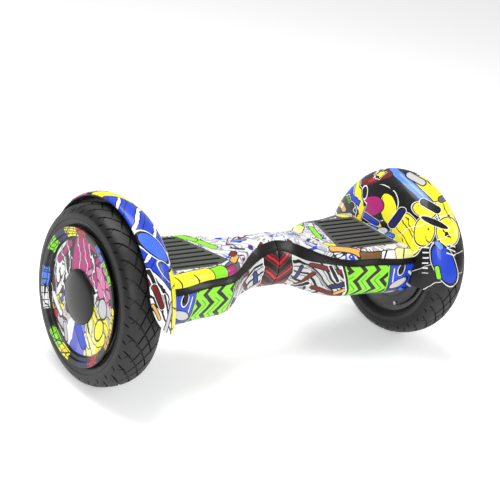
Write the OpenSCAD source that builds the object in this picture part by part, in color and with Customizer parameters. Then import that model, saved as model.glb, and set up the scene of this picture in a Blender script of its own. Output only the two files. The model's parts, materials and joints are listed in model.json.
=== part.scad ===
// Self-balancing board: two halves that twist against each other about a centre
// tube, each with a foot mat on a sensor, and a wheel with its motor in the hub.
// +X runs along the board to the right wheel, -Y is the front, +Z is up.
// Origin: on the floor, midway between the wheels.

/* [Overall] */

// distance between the wheel centre planes
track = 568; // [500:4:680]
// outside diameter of the tyres
tyre_od = 254; // [212:1:305]
// widest part of a tyre
tyre_w = 61; // [51:1:74]

/* [Body] */

// front to back across the bumper bands, next to the wheels
body_w = 176; // [148:1:210]
// top of the foot mats above the axle line
deck_rise = 50.5; // [46:0.5:60]
// underside of the body below the axle line
belly_drop = 34; // [30:0.5:40]
// centre tube above the axle line
pivot_rise = 21; // [18:0.5:26]
// outside radius of the narrow waist
waist_r = 38; // [36:0.5:45]
// wall of the moulded covers
wall = 3; // [2.4:0.1:3.6]
// gap between the two halves at the waist
seam = 1.5; // [1:0.1:3]
// free gap between the end of the body and the tyre
wheel_gap = 17.5; // [15:0.5:22]
// depth of a bumper band
band_t = 4; // [3:0.25:5]

/* [Fender] */

// outside of the fender beyond the tread
fender_gap = 15; // [12:0.5:20]
// how far the fender reaches past the wheel's centre plane
fender_reach = 4; // [0:0.5:10]

/* [Foot mat] */

// half the mat's depth, front to back
mat_half = 55; // [50:0.5:58]
// how far a mat sinks when it is stepped on
mat_travel = 2; // [1.5:0.1:2.2]
// number of grooves in a mat
mat_grooves = 8; // [6:1:10]
// width of a groove
groove_w = 5; // [4:0.25:6]

/* [Centre pivot] */

// outside radius of the centre tube
tube_r = 15; // [14:0.25:16]
// running clearance of the tube in its bushes
tube_fit = 0.05; // [0.03:0.01:0.09]
// radial thickness of a bush
bush_t = 2.5; // [2:0.25:3]

/* [Hub motor] */

// radius of the axle
axle_r = 8.5; // [8:0.1:9]
// running clearance of the bearings on the axle
axle_fit = 0.03; // [0.02:0.01:0.09]
// outside radius of a bearing
bearing_r = 17.5; // [16:0.25:19]
// width of a bearing
bearing_w = 10; // [8:0.5:11]
// outside radius of the printed wheel disc
disc_r = 96.7; // [94:0.1:99]
// radius of the domed hub cap
cap_r = 38.3; // [34:0.1:42]

/* [Charge socket and power button] */

// radius of the socket's mouth
plug_r = 5.6; // [5:0.1:7]
// clear depth of the socket's mouth
plug_depth = 8; // [6:0.5:10]
// radius of the power button
button_r = 7.5; // [6:0.1:9]

/* [Hidden] */

$fn = 64;
az = tyre_od / 2;
dz = az + deck_rise;
pz = az + pivot_rise;
bz = az - belly_drop;
wx = track / 2;
body_end = wx - tyre_w / 2 - wheel_gap;
kx = body_end / 236;
ky = body_w / 176;
flat_x = 205 * kx;
tray_z = bz + 11;
tray_top = dz - 27.5;
tray_in = 78 * kx;
tray_out = body_end - 8;
tray_half = 54 * ky;
boss_r = tube_r + 9;
clamp_x0 = body_end - 32;
clamp_x1 = body_end - 4;
flat_y = 6.5;
tyre_k = tyre_od / 254;
seat_r = az - 47;
mat_in = 102 * kx;
mat_out = body_end - 19;
mat_slope = 29 * kx / 96;
fender_r = az + fender_gap;
lip_x = wx + fender_reach;
screw_r = 2;
socket_x = body_end - 20;
button_x = 186 * kx;
port_z = az + 9;

// which sub-part to draw

// ---- body outline: each value is a function of the distance u from the waist ----

function ease(t) = t * t * (3 - 2 * t);
function s(a, b, u) = ease(max(0, min(1, (u - a * kx) / ((b - a) * kx))));
function out(u) = min(u, flat_x) / flat_x;
function rim_y(u) = ky * (15 + 42 * s(24, 124, u) + 18 * out(u) + 8 * s(150, 205, u));
function rim_z(u) = dz - 13.5 + (pz + waist_r - dz + 13.5) * (1 - s(0, 100, u));
function sill_y(u) = ky * (26 + 40 * s(30, 125, u) + 16 * out(u) + 6 * s(150, 205, u));
function sill_z(u) = dz - 22 + (pz + 26 - dz + 22) * (1 - s(0, 62, u));
function crown_y(u) = rim_y(u) - ky * (10 + 8 * s(24, 124, u));
function crown_z(u) = dz + (pz + waist_r + 2 - dz) * (1 - s(15, 85, u));
function wide_y(u) = (waist_r - 2) * (1 - s(20, 100, u)) + sill_y(u) * s(20, 100, u);
function wide_z(u) = pz + (dz - 29.5 - pz) * s(0, 62, u);
function keel_z(u) = bz + (pz - waist_r - 1 - bz) * (1 - s(20, 95, u));
function power(u) = 2 / (2.1 + 1.6 * s(20, 110, u));

// half outline above the bumper band, rim to crown, i is the inward offset
function over(u, i) = [for (a = [0:22.5:90])
  [crown_y(u) + (rim_y(u) - i - crown_y(u)) * cos(a),
   rim_z(u) + 0.2 + (crown_z(u) - i - rim_z(u) - 0.2) * sin(a)]];
// half outline below the bumper band, sill to keel
function under(u, i) = concat(
  [[sill_y(u) - i, sill_z(u) - 0.2],
   [wide_y(u) - i + (sill_y(u) - wide_y(u)) * 0.4,
    wide_z(u) + (sill_z(u) - wide_z(u) - 0.2) * 0.7]],
  [for (a = [0:15:90])
    [(wide_y(u) - i) * pow(cos(a), power(u)),
     wide_z(u) - (wide_z(u) - keel_z(u) - i) * pow(sin(a), power(u))]]);

function flip(r) = [for (k = [len(r) - 1:-1:0]) r[k]];
function mirrored(r) = [for (k = [len(r) - 1:-1:0]) [-r[k][0], r[k][1]]];
function front_to_rear(r, keep) = concat([for (p = r) [-p[0], p[1]]],
  [for (k = [len(r) - 1 - keep:-1:0]) r[k]]);

stations = [for (u = [0, 14, 28, 42, 56, 70, 84, 98, 112, 130, 150, 168, 186, 205, 236])
  max(seam / 2, u * kx)];

// skin through a list of closed rings of equal length, one at each x
module loft(xs, rings) {
  n = len(rings[0]);
  m = len(xs);
  polyhedron(
    points = [for (i = [0:m - 1]) for (p = rings[i]) [xs[i], p[0], p[1]]],
    faces = concat(
      [for (i = [0:m - 2]) for (j = [0:n - 1]) [i * n + j, i * n + (j + 1) % n, (i + 1) * n + j]],
      [for (i = [0:m - 2]) for (j = [0:n - 1])
        [i * n + (j + 1) % n, (i + 1) * n + (j + 1) % n, (i + 1) * n + j]],
      [for (j = [0:n / 2 - 2]) [n - 1 - j, n - 2 - j, j + 1, j]],
      [for (j = [0:n / 2 - 2])
        [(m - 1) * n + j, (m - 1) * n + j + 1, m * n - 2 - j, m * n - 1 - j]]),
    convexity = 8);
}

module along_x(x, z = az) {
  translate([x, 0, z]) rotate([0, 90, 0]) children();
}

module along_y(x, y, z) {
  translate([x, y, z]) rotate([90, 0, 0]) children();
}

module end_profile(x, w, shape) {
  translate([x, 0, 0]) rotate([90, 0, 90]) linear_extrude(w) polygon(shape);
}

module to_left() {
  mirror([1, 0, 0]) children();
}

// ---- covers ----

cover_posts = [[87 * kx, 26 * ky], [150 * kx, 60.5 * ky], [208 * kx, 62 * ky]];
post_tops = [dz - 2, dz - 4.3, dz - 2];
mat_feet = [[mat_in + 13 * kx, -43 * ky], [mat_in + 37 * kx, 45 * ky],
  [mat_out - 16, -49 * ky], [mat_out - 16, 49 * ky]];
sensor_x = [156 * kx, 182 * kx];
belly_posts = [[98 * kx, 28 * ky], [150 * kx, 38 * ky], [216 * kx, 42 * ky]];
fender_lugs = [28, -28];

module mat_shape(grow) {
  polygon([[mat_in - grow, -41 * ky - grow * 0.7], [mat_in + 18 * kx, -(mat_half - 5) - grow],
    [mat_in + 42 * kx, -mat_half - grow], [mat_out + grow, -mat_half - grow],
    [mat_out + grow, mat_half + grow], [mat_in + 66 * kx, mat_half + grow],
    [mat_in + 29 * kx - grow, 50 * ky + grow]]);
}

module top_cover() {
  difference() {
    union() {
      loft(stations, [for (u = stations)
        concat(front_to_rear(over(u, 0), 0), flip(front_to_rear(over(u, wall), 0)))]);
      end_profile(body_end - wall, wall, front_to_rear(over(body_end, 0), 0));
      for (i = [0:2], k = [-1, 1])
        translate([cover_posts[i][0], k * cover_posts[i][1], tray_top])
          cylinder(r = 4.5, h = post_tops[i] - tray_top, $fn = 20);
    }
    translate([0, 0, dz - 12]) linear_extrude(20) mat_shape(0.6);
    for (p = cover_posts, k = [-1, 1])
      translate([p[0], k * p[1], tray_top - 1]) cylinder(r = screw_r + 0.05, h = 13, $fn = 20);
    for (y = fender_lugs)
      translate([body_end - 8, y, dz - 6]) cylinder(r = screw_r + 0.05, h = 10, $fn = 20);
  }
}

module bottom_cover(ports) {
  difference() {
    union() {
      loft(stations, [for (u = stations)
        concat(flip(front_to_rear(under(u, 0), 1)), front_to_rear(under(u, wall), 1))]);
      end_profile(body_end - wall, wall, concat(front_to_rear(under(body_end, 0), 1),
        [[rim_y(body_end) - band_t - 0.4, sill_z(body_end) - 0.2],
         [rim_y(body_end) - band_t - 0.4, rim_z(body_end) - 0.3],
         [-rim_y(body_end) + band_t + 0.4, rim_z(body_end) - 0.3],
         [-rim_y(body_end) + band_t + 0.4, sill_z(body_end) - 0.2]]));
      for (p = belly_posts, k = [-1, 1])
        translate([p[0], k * p[1], bz + 2]) cylinder(r = 5.5, h = tray_z - bz - 2, $fn = 20);
    }
    along_x(body_end - wall - 1) cylinder(r = 16, h = wall + 2, $fn = 32);
    translate([body_end - wall - 1, -16, az]) cube([wall + 2, 32, 60]);
    for (p = belly_posts, k = [-1, 1]) {
      translate([p[0], k * p[1], bz - 1]) cylinder(r = screw_r + 0.2, h = 20, $fn = 20);
      translate([p[0], k * p[1], bz - 1]) cylinder(r = 4, h = 4, $fn = 20);
    }
    if (ports) {
      along_y(socket_x, sill_y(socket_x) + 10, port_z) cylinder(r = 8.2, h = 30, $fn = 32);
      along_y(button_x, sill_y(button_x) + 10, port_z)
        cylinder(r = button_r + 0.4, h = 30, $fn = 32);
    }
  }
}

// bumper band closing the joint between the covers, on the front (-1) or rear (1)
module bumper(k) {
  us = [for (u = stations) min(u, body_end - 0.4)];
  loft(us, [for (u = us)
    let (b = u < 200 * kx ? 0.6 : 0,
      ring = [[rim_y(u), rim_z(u)],
        [(rim_y(u) + sill_y(u)) / 2 + b, (rim_z(u) + sill_z(u)) / 2 + b * 0.7],
        [sill_y(u), sill_z(u)], [sill_y(u) - band_t, sill_z(u)],
        [(rim_y(u) + sill_y(u)) / 2 - band_t, (rim_z(u) + sill_z(u)) / 2],
        [rim_y(u) - band_t, rim_z(u)]])
    k > 0 ? ring : flip([for (p = ring) [-p[0], p[1]]])]);
  x = 202 * kx;
  y = sill_y(x) + 0.2;
  z = sill_z(x);
  translate([x - 3, k > 0 ? y - 2.5 : -y - 1.5, z + 0.3]) cube([6, 4, 3]);
  translate([x - 3, k > 0 ? y : -y - 1.5, z - 9]) cube([6, 1.5, 10]);
  along_y(x, k > 0 ? y + 1.5 : -y, z - 9) cylinder(r = 3, h = 1.5);
}

// ---- fender ----

// the inner rings follow the end of the body, the outer ones the tyre
flare_r = sill_y(body_end) - 11;
flare_mid = flare_r + (az - 2 - flare_r) * 7 / 12;

function hood(i) = [
  [flare_r - 31 - i * 0.2, body_end - 18 + i], [flare_r - i * 0.4, body_end - 14 + i],
  [flare_mid - i * 0.6, body_end - 6 + i * 0.8], [az - 2 - i * 0.7, body_end + 4.5 + i * 0.7],
  [fender_r - 7 - i * 0.85, body_end + 17 + i * 0.5], [fender_r - 1.6 - i, body_end + 29 + i * 0.2],
  [fender_r - i, body_end + 38], [fender_r - 1.6 - i, lip_x - 3],
  [fender_r - 4.4 - i * 0.6, lip_x]];

module fender() {
  difference() {
    union() {
      difference() {
        along_x(0) rotate_extrude($fn = 96) polygon(concat(hood(0), flip(hood(wall))));
        // lower end, rounded off towards the outside
        translate([0, -300, az - 400]) cube([600, 600, 400 - 6]);
        difference() {
          translate([body_end - 8, -300, az - 60]) cube([120, 600, 114]);
          along_y(body_end - 8, 300, az + 54) cylinder(r = 60, h = 600);
        }
      }
      for (y = fender_lugs) translate([body_end - 17, y - 7, dz - 2]) cube([16, 14, 5]);
    }
    end_profile(body_end - 40, 40.3, concat(
      [for (p = front_to_rear(over(body_end, 0), 0))
        p[1] > dz - 0.5 ? p : [p[0] + sign(p[0]) * 0.3, p[1]]],
      [for (p = flip(front_to_rear(under(body_end, 0), 1))) [p[0] + sign(p[0]) * 0.3, p[1] - 0.3]]));
    for (y = fender_lugs) translate([body_end - 8, y, dz - 6]) cylinder(r = screw_r + 0.2, h = 12);
  }
}

// ---- frame, clamp and pivot ----

module frame(bore_r) {
  difference() {
    union() {
      along_x(5, pz) cylinder(r = boss_r, h = 61 * kx);
      translate([46 * kx, -24, pz - 26]) cube([tray_in + 4 - 46 * kx, 48, tray_top - pz + 26]);
      translate([0, 0, tray_z]) linear_extrude(tray_top - tray_z)
        polygon([[tray_in, -26 * ky], [104 * kx, -44 * ky], [tray_out, -tray_half],
          [tray_out, tray_half], [104 * kx, 44 * ky], [tray_in, 26 * ky]]);
      for (p = [cover_posts[1], cover_posts[2]], k = [-1, 1]) {
        translate([p[0], k * p[1], tray_top - 6]) cylinder(r = 6, h = 6);
        translate([p[0] - 6, k > 0 ? tray_half - 6 : -p[1], tray_top - 6])
          cube([12, p[1] - tray_half + 6, 6]);
      }
    }
    // tray, open at the top
    difference() {
      translate([0, 0, tray_z + 4]) linear_extrude(100)
        polygon([[tray_in + 4, -24 * ky], [105 * kx, -39.5 * ky], [tray_out - 4, 3.8 - tray_half],
          [tray_out - 4, tray_half - 3.8], [105 * kx, 39.5 * ky], [tray_in + 4, 24 * ky]]);
      translate([clamp_x0, -24, tray_z]) cube([clamp_x1 - clamp_x0, 48, az - tray_z]);
      for (k = [-1, 1])
        translate([cover_posts[0][0], k * cover_posts[0][1], tray_top - 8]) cylinder(r = 6, h = 8);
    }
    // end wall opened over the clamp
    translate([tray_out - 8, -25, az]) cube([12, 50, 60]);
    // axle seat with flats
    translate([clamp_x0 - 5, -flat_y, az - axle_r]) cube([60, 2 * flat_y, 60]);
    for (x = [clamp_x0 + 7, clamp_x1 - 7], y = [-16, 16])
      translate([x, y, az - 14]) cylinder(r = 2.5, h = 20);
    along_x(4, pz) cylinder(r = bore_r, h = tray_in - 8);
    along_x(66 * kx, pz) cylinder(r = tube_r + 5, h = tray_in - 4 - 66 * kx);
    for (p = cover_posts, k = [-1, 1])
      translate([p[0], k * p[1], tray_top - 12]) cylinder(r = screw_r + 0.2, h = 14);
    for (k = [-1, 1])
      translate([cover_posts[0][0], k * cover_posts[0][1], tray_top - 12])
        cylinder(r = 4, h = 4);
    for (p = belly_posts, k = [-1, 1])
      translate([p[0], k * p[1], tray_z - 1]) cylinder(r = screw_r, h = 8);
  }
}

module axle_clamp() {
  difference() {
    translate([clamp_x0, -24, az]) cube([clamp_x1 - clamp_x0, 48, 16]);
    translate([clamp_x0 - 5, -flat_y, az - 1]) cube([60, 2 * flat_y, axle_r + 1]);
    for (x = [clamp_x0 + 7, clamp_x1 - 7], y = [-16, 16])
      translate([x, y, az - 1]) cylinder(r = 2.6, h = 30);
  }
}

module clamp_bolts() {
  for (x = [clamp_x0 + 7, clamp_x1 - 7], y = [-16, 16])
    translate([x, y, az]) {
      translate([0, 0, -12]) cylinder(r = 2.45, h = 28.2);
      difference() {
        translate([0, 0, 16]) cylinder(r = 4.5, h = 4.5);
        translate([0, 0, 18.5]) cylinder(r = 2.3, h = 4, $fn = 6);
      }
    }
}

module screws() {
  for (p = cover_posts, k = [-1, 1]) {
    low = p == cover_posts[0] ? tray_top - 8 : tray_top - 6;
    translate([p[0], k * p[1], low - 3]) cylinder(r = 3.6, h = 3);
    translate([p[0], k * p[1], low - 3]) cylinder(r = screw_r, h = tray_top + 10 - low);
  }
  for (p = belly_posts, k = [-1, 1])
    difference() {
      translate([p[0], k * p[1], 0]) {
        translate([0, 0, bz + 0.8]) cylinder(r = 3.6, h = 2.2);
        translate([0, 0, bz + 0.8]) cylinder(r = screw_r, h = tray_z + 3 - bz);
      }
      translate([p[0] - 0.6, k * p[1] - 2.4, bz]) cube([1.2, 4.8, 1.8]);
      translate([p[0] - 2.4, k * p[1] - 0.6, bz]) cube([4.8, 1.2, 1.8]);
    }
  for (y = fender_lugs)
    translate([body_end - 8, y, 0]) {
      translate([0, 0, dz + 3]) cylinder(r = 3.6, h = 2.2);
      translate([0, 0, dz - 4]) cylinder(r = screw_r, h = 8);
    }
}

module pivot_tube() {
  along_x(-60 * kx, pz) difference() {
    cylinder(r = tube_r, h = 131 * kx);
    translate([0, 0, -1]) cylinder(r = tube_r - 3, h = 140 * kx);
    // groove for the retaining clip
    translate([0, 0, 127.4 * kx]) difference() {
      cylinder(r = tube_r + 1, h = 1.6);
      translate([0, 0, -1]) cylinder(r = tube_r - 1, h = 4);
    }
  }
}

module pivot_bushes() {
  for (x = [5, 5 + 61 * kx - 18])
    along_x(x, pz) difference() {
      cylinder(r = tube_r + bush_t, h = 18);
      translate([0, 0, -1]) cylinder(r = tube_r + tube_fit, h = 20);
    }
}

module pivot_clips() {
  difference() {
    along_x(67.5 * kx, pz) cylinder(r = tube_r + 3.6, h = 1.4);
    along_x(67.5 * kx - 1, pz) cylinder(r = tube_r - 1, h = 4);
    translate([60 * kx, -4, pz]) cube([20, 8, 40]);
  }
}

// ---- axle, motor and wheel ----

bear_in = wx - 31;
bear_out = wx + 6;
hub_face = wx + 20;
rotor_r = seat_r - 7;
stator_x = wx - 16;

module axle() {
  difference() {
    union() {
      along_x(clamp_x0) cylinder(r = axle_r, h = hub_face - 1 - clamp_x0);
      along_x(stator_x + 3) cylinder(r = seat_r - 44, h = 18);
    }
    for (y = [-40 - flat_y, flat_y])
      translate([clamp_x0 - 1, y, az - 20]) cube([clamp_x1 - clamp_x0 + 5, 40, 40]);
    along_x(clamp_x0 - 1) cylinder(r = 3.5, h = bear_in + bearing_w - clamp_x0);
    for (a = [0:60:300])
      along_x(stator_x) rotate([0, 0, a]) translate([22, 0, 0]) cylinder(r = 6.5, h = 30);
  }
}

// half width of a slot at radius r, leaving teeth with parallel sides
function slot_w(r) = r * tan(180 / 27) - 2.567;

module stator() {
  r0 = rotor_r - 26.8;
  r1 = rotor_r - 8.2;
  along_x(stator_x) difference() {
    cylinder(r = rotor_r - 4.4, h = 24);
    translate([0, 0, -1]) cylinder(r = seat_r - 44, h = 30);
    for (a = [0:26])
      rotate([0, 0, (a + 0.5) * 360 / 27]) translate([0, 0, -1]) linear_extrude(26)
        polygon([[r0, -slot_w(r0)], [r1, -slot_w(r1)], [r1, -1.25], [rotor_r, -1.25],
          [rotor_r, 1.25], [r1, 1.25], [r1, slot_w(r1)], [r0, slot_w(r0)]]);
  }
}

module windings() {
  for (a = [0:26])
    along_x(stator_x) rotate([0, 0, a * 360 / 27]) difference() {
      translate([rotor_r - 26.5, -5, -3]) cube([17.5, 10, 30]);
      translate([rotor_r - 30, -2.6, -0.2]) cube([26, 5.2, 24.4]);
    }
}

module motor_cable() {
  along_x(clamp_x0 - 4) cylinder(r = 3, h = bear_in + bearing_w - clamp_x0 + 3);
  translate([clamp_x0 - 4, 0, az]) sphere(r = 3);
  translate([clamp_x0 - 4, 0, tray_z + 8]) cylinder(r = 3, h = az - tray_z - 8);
}

function tyre_outer() = [[3, -20.5], [9, -22], [17, -28.5], [26, -30.5], [34, -29.5], [40.5, -25],
  [44.5, -18], [46.5, -9], [47, 0], [46.5, 9], [44.5, 18], [40.5, 25], [34, 29.5],
  [26, 30.5], [17, 28.5], [9, 22], [3, 20.5]];
function tyre_inner() = [[3, 15.5], [10, 17], [18, 23], [26, 25], [33, 23.5], [38, 19],
  [40.6, 10], [41, 0], [40.6, -10], [38, -19], [33, -23.5], [26, -25], [18, -23],
  [10, -17], [3, -15.5]];

module tyre() {
  along_x(wx) rotate_extrude($fn = 128)
    polygon([for (p = concat(tyre_outer(), tyre_inner()))
      [seat_r + p[0], p[1] * tyre_w / 61]]);
}

module tube() {
  along_x(wx) rotate_extrude($fn = 96) difference() {
    polygon([for (a = [0:15:345]) [seat_r + 21.5 + 18 * cos(a), 21.5 * sin(a)]]);
    polygon([for (a = [0:15:345]) [seat_r + 21.5 + 16.4 * cos(a), 20 * sin(a)]]);
  }
}

// air valve: along the rim, then up into the tyre
module valve() {
  translate([0, 0, az]) {
    translate([wx - 38, 0, seat_r - 3.4]) rotate([0, 90, 0]) cylinder(r = 2.1, h = 26);
    translate([wx - 12, 0, seat_r - 3.4]) cylinder(r = 2.1, h = 6.6);
    translate([wx - 12, 0, seat_r - 3.4]) sphere(r = 2.1);
    translate([wx - 38, 0, seat_r - 3.4]) rotate([0, 90, 0]) cylinder(r = 3.2, h = 8);
  }
}

module hub() {
  difference() {
    along_x(wx) rotate_extrude($fn = 128)
      polygon([[rotor_r, -21], [seat_r, -21], [seat_r + 8, -23.5], [seat_r + 9, -22.5],
        [seat_r + 3, -20.5], [seat_r, -15], [seat_r, 15], [seat_r + 3, 20.5],
        [seat_r + 9, 22.5], [seat_r + 8, 23.5], [seat_r - 2, 20], [11, 20], [11, 16.2],
        [bearing_r, 16.2], [bearing_r, 5], [bearing_r + 6, 5], [bearing_r + 8, 15.5],
        [rotor_r, 15.5]]);
    translate([wx - 30, 0, az + seat_r - 3.4]) rotate([0, 90, 0]) cylinder(r = 2.2, h = 20.2);
    translate([wx - 12, 0, az + seat_r - 5.7]) cylinder(r = 2.2, h = 12);
    for (a = [0:60:300])
      along_x(wx - 30) rotate([0, 0, a + 30]) translate([seat_r - 3.5, 0, 0]) cylinder(r = 1.6, h = 20);
  }
}

module magnets() {
  for (a = [0:12:348])
    along_x(stator_x) rotate([0, 0, a]) translate([rotor_r - 3.4, -6, 0]) cube([3, 12, 24]);
}

// inboard side of the motor, with raised rings
module motor_cover() {
  difference() {
    along_x(wx) rotate_extrude($fn = 128)
      polygon([[11, -33], [bearing_r + 5, -33], [bearing_r + 7, -26.5], [44, -26.5], [46, -28.5],
        [52, -28.5], [54, -26.5], [64, -26.5], [66, -25], [seat_r - 0.5, -25],
        [seat_r - 0.5, -21], [rotor_r - 6, -21], [rotor_r - 8, -22.5], [bearing_r + 6, -22.5],
        [bearing_r + 6, -21], [bearing_r, -21], [bearing_r, -31.2], [11, -31.2]]);
    translate([wx - 40, 0, az + seat_r - 3.4]) rotate([0, 90, 0]) cylinder(r = 3.4, h = 16.8);
    translate([wx - 40, 0, az + seat_r - 3.4]) rotate([0, 90, 0]) cylinder(r = 2.2, h = 30);
    for (a = [0:60:300])
      along_x(wx - 40) rotate([0, 0, a + 30]) translate([seat_r - 3.5, 0, 0]) cylinder(r = 1.7, h = 30);
  }
}

module cover_bolts() {
  for (a = [0:60:300])
    along_x(wx) rotate([0, 0, a + 30]) translate([seat_r - 3.5, 0, 0]) {
      translate([0, 0, -25]) cylinder(r = 1.55, h = 14);
      difference() {
        translate([0, 0, -27]) cylinder(r = 2.9, h = 2);
        translate([0, 0, -28]) cylinder(r = 1.4, h = 2, $fn = 6);
      }
    }
}

module wheel_disc() {
  lip = disc_r - 7.7;
  along_x(wx) rotate_extrude($fn = 128)
    polygon([[cap_r - 2.3, 29.2], [48, 29], [lip - 19, 28], [lip - 7, 27.6], [lip - 6, 31.2],
      [lip - 1, 31.6], [lip, 35], [disc_r - 1, 35.5], [disc_r, 34.6], [disc_r, 32.6],
      [lip + 2, 32.4], [lip + 1.4, 29], [lip - 3.4, 28.6], [lip - 4.2, 25], [66, 25.4],
      [66, 20], [63.4, 20], [63.4, 25.6], [cap_r - 2.3, 26.6]]);
}

module hub_cap() {
  along_x(wx) rotate_extrude($fn = 96)
    polygon(concat([for (a = [90:-10:0]) [cap_r * sin(a), 29.4 + 8.1 * cos(a)]],
      [for (a = [0:15:90]) [(cap_r - 5.2) * sin(a), 29.2 + 5.8 * cos(a)]],
      [[cap_r - 5.2, 20.4], [cap_r - 3, 20.4], [cap_r - 3, 29.4]]));
}

module bearings() {
  for (x = [bear_in, bear_out])
    along_x(x) rotate_extrude($fn = 96)
      polygon([[axle_r + axle_fit, 0], [axle_r + 3, 0], [axle_r + 3, 0.5], [bearing_r - 2.6, 0.5],
        [bearing_r - 2.6, 0], [bearing_r, 0], [bearing_r, bearing_w], [bearing_r - 2.6, bearing_w],
        [bearing_r - 2.6, bearing_w - 0.5], [axle_r + 3, bearing_w - 0.5], [axle_r + 3, bearing_w],
        [axle_r + axle_fit, bearing_w]]);
}

// ---- foot mat and its sensor ----

module mat() {
  pitch = (2 * mat_half - 17) / (mat_grooves - 1);
  difference() {
    union() {
      translate([0, 0, dz - 6.5]) linear_extrude(6.5) mat_shape(0);
      translate([0, 0, dz - 6.5]) linear_extrude(2.2) mat_shape(2.2);
      for (p = mat_feet)
        translate([p[0], p[1], tray_top + mat_travel + 0.2])
          cylinder(r = 4, h = dz - 6 - tray_top - mat_travel - 0.2);
      for (x = sensor_x)
        translate([x - 4.5, -0.6, tray_top + 7]) cube([9, 1.2, dz - 6 - tray_top - 7]);
    }
    for (i = [0:mat_grooves - 1]) {
      y = i * pitch - mat_half + 8.5;
      x0 = max(mat_in + 7 + (y + 41) * mat_slope, y < -44 ? mat_in + 22 : 0);
      translate([x0, y - groove_w / 2, dz - 2.5]) cube([mat_out - 7 - x0, groove_w, 5]);
    }
    for (p = cover_posts, k = [-1, 1])
      translate([p[0], k * p[1], dz - 8]) cylinder(r = 5.2, h = 6);
  }
}

module sensor_board() {
  for (x = sensor_x)
    translate([x - 7, -4, tray_top + 1.6]) difference() {
      cube([14, 8, 8]);
      translate([-1, 2.6, 3]) cube([16, 2.8, 6]);
    }
  difference() {
    translate([146 * kx, -50 * ky, tray_top]) cube([48 * kx, 100 * ky, 1.6]);
    for (x = [151 * kx, 189 * kx], y = [-30, 30])
      translate([x, y, tray_top - 1]) cylinder(r = 1.8, h = 5);
  }
}

// ---- electrics ----

module main_board() {
  to_left() {
    for (x = [103 * kx, 176 * kx], y = [-26, 26])
      translate([x, y * ky, tray_z + 4]) cylinder(r = 3, h = 6);
    translate([98 * kx, -32 * ky, tray_z + 10]) cube([84 * kx, 64 * ky, 1.6]);
    translate([110 * kx, -26 * ky, tray_z + 11.6]) cube([50, 14, 6]);
    for (i = [0:5]) translate([110 * kx + i * 9.4, -26 * ky, tray_z + 17]) cube([1.6, 14, 10]);
    for (x = [107, 121, 135]) translate([x * kx, 18 * ky, tray_z + 11.6]) cylinder(r = 6, h = 16);
    translate([146 * kx, 8 * ky, tray_z + 11.6]) cube([12, 12, 2]);
    for (x = [150, 164]) translate([x * kx, 24 * ky, tray_z + 11.6]) cube([9, 6, 7]);
  }
}

module battery() {
  difference() {
    translate([99 * kx, -34, tray_z + 4]) cube([97 * kx, 68, 38]);
    for (i = [1:5])
      translate([(99 + i * 16.17) * kx - 0.6, -40, tray_z + 41]) cube([1.2, 80, 3]);
  }
}

module power_button() {
  to_left() {
    y = sill_y(button_x);
    along_y(button_x, y + 1.8, port_z) cylinder(r = button_r, h = 9.8);
    along_y(button_x, y - 6.5, port_z) cylinder(r = button_r + 2, h = 1.5);
  }
}

hinge_y = sill_y(socket_x) + 3.9;
hinge_z = port_z + 13;

module charge_socket() {
  to_left() {
    y = sill_y(socket_x);
    difference() {
      union() {
        along_y(socket_x, y + 2, port_z) cylinder(r = 9.5, h = 1.6);
        along_y(socket_x, y + 2, port_z) cylinder(r = 8, h = 18);
        for (k = [-1, 1])
          translate([socket_x + k * 7 - 1.5, y + 0.4, port_z + 4.6]) cube([3, 5, 10.4]);
      }
      // wide mouth for the cap, then the seat for the plug, then the contacts
      along_y(socket_x, y + 3, port_z) cylinder(r = plug_r + 0.6, h = 3.6);
      along_y(socket_x, y + 3, port_z) cylinder(r = plug_r, h = plug_depth + 3.6);
      along_y(socket_x, y + 3, port_z) cylinder(r = plug_r - 0.8, h = plug_depth + 8);
      translate([socket_x - 20, hinge_y, hinge_z]) rotate([0, 90, 0]) cylinder(r = 1.05, h = 40);
    }
    for (a = [90, 210, 330])
      along_y(socket_x, y - plug_depth - 0.8, port_z) rotate([0, 0, a]) translate([2.7, 0, 0])
        cylinder(r = 0.8, h = 5);
  }
}

module charge_cap() {
  to_left() {
    y = sill_y(socket_x);
    along_y(socket_x, y + 4.4, port_z) cylinder(r = 7, h = 2);
    along_y(socket_x, y + 3, port_z) cylinder(r = plug_r + 0.3, h = 3);
    translate([socket_x - 4.5, y + 2.9, port_z + 6]) cube([9, 2, 7]);
    translate([socket_x - 5.2, hinge_y, hinge_z]) rotate([0, 90, 0]) cylinder(r = 1.9, h = 10.4);
    translate([socket_x - 8.6, hinge_y, hinge_z]) rotate([0, 90, 0]) cylinder(r = 1, h = 17.2);
  }
}

// ---- one module per sub-part ----

module left_frame() { color("silver") to_left() frame(tube_r); }
module left_axle_clamp() { color("silver") to_left() axle_clamp(); }
module left_clamp_bolts() { color("dimgray") to_left() clamp_bolts(); }
module left_axle() { color("gray") to_left() axle(); }
module left_stator() { color("gray") to_left() stator(); }
module left_windings() { color("peru") to_left() windings(); }
module left_motor_cable() { color("black") to_left() motor_cable(); }
module left_top_cover() { color("royalblue") to_left() top_cover(); }
module left_bottom_cover() { color("limegreen") to_left() bottom_cover(true); }
module left_bumper_front() { color("dimgray") to_left() bumper(-1); }
module left_bumper_rear() { color("dimgray") to_left() bumper(1); }
module left_fender() { color("gold") to_left() fender(); }
module left_mat() { color("gray") to_left() mat(); }
module left_sensor_board() { color("green") to_left() sensor_board(); }
module left_screws() { color("dimgray") to_left() screws(); }
module left_tyre() { color("black") to_left() tyre(); }
module left_tube() { color("dimgray") to_left() tube(); }
module left_valve() { color("black") to_left() valve(); }
module left_hub() { color("dimgray") to_left() hub(); }
module left_magnets() { color("silver") to_left() magnets(); }
module left_motor_cover() { color("dimgray") to_left() motor_cover(); }
module left_wheel_disc() { color("khaki") to_left() wheel_disc(); }
module left_hub_cap() { color("black") to_left() hub_cap(); }
module left_bearings() { color("silver") to_left() bearings(); }
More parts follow.
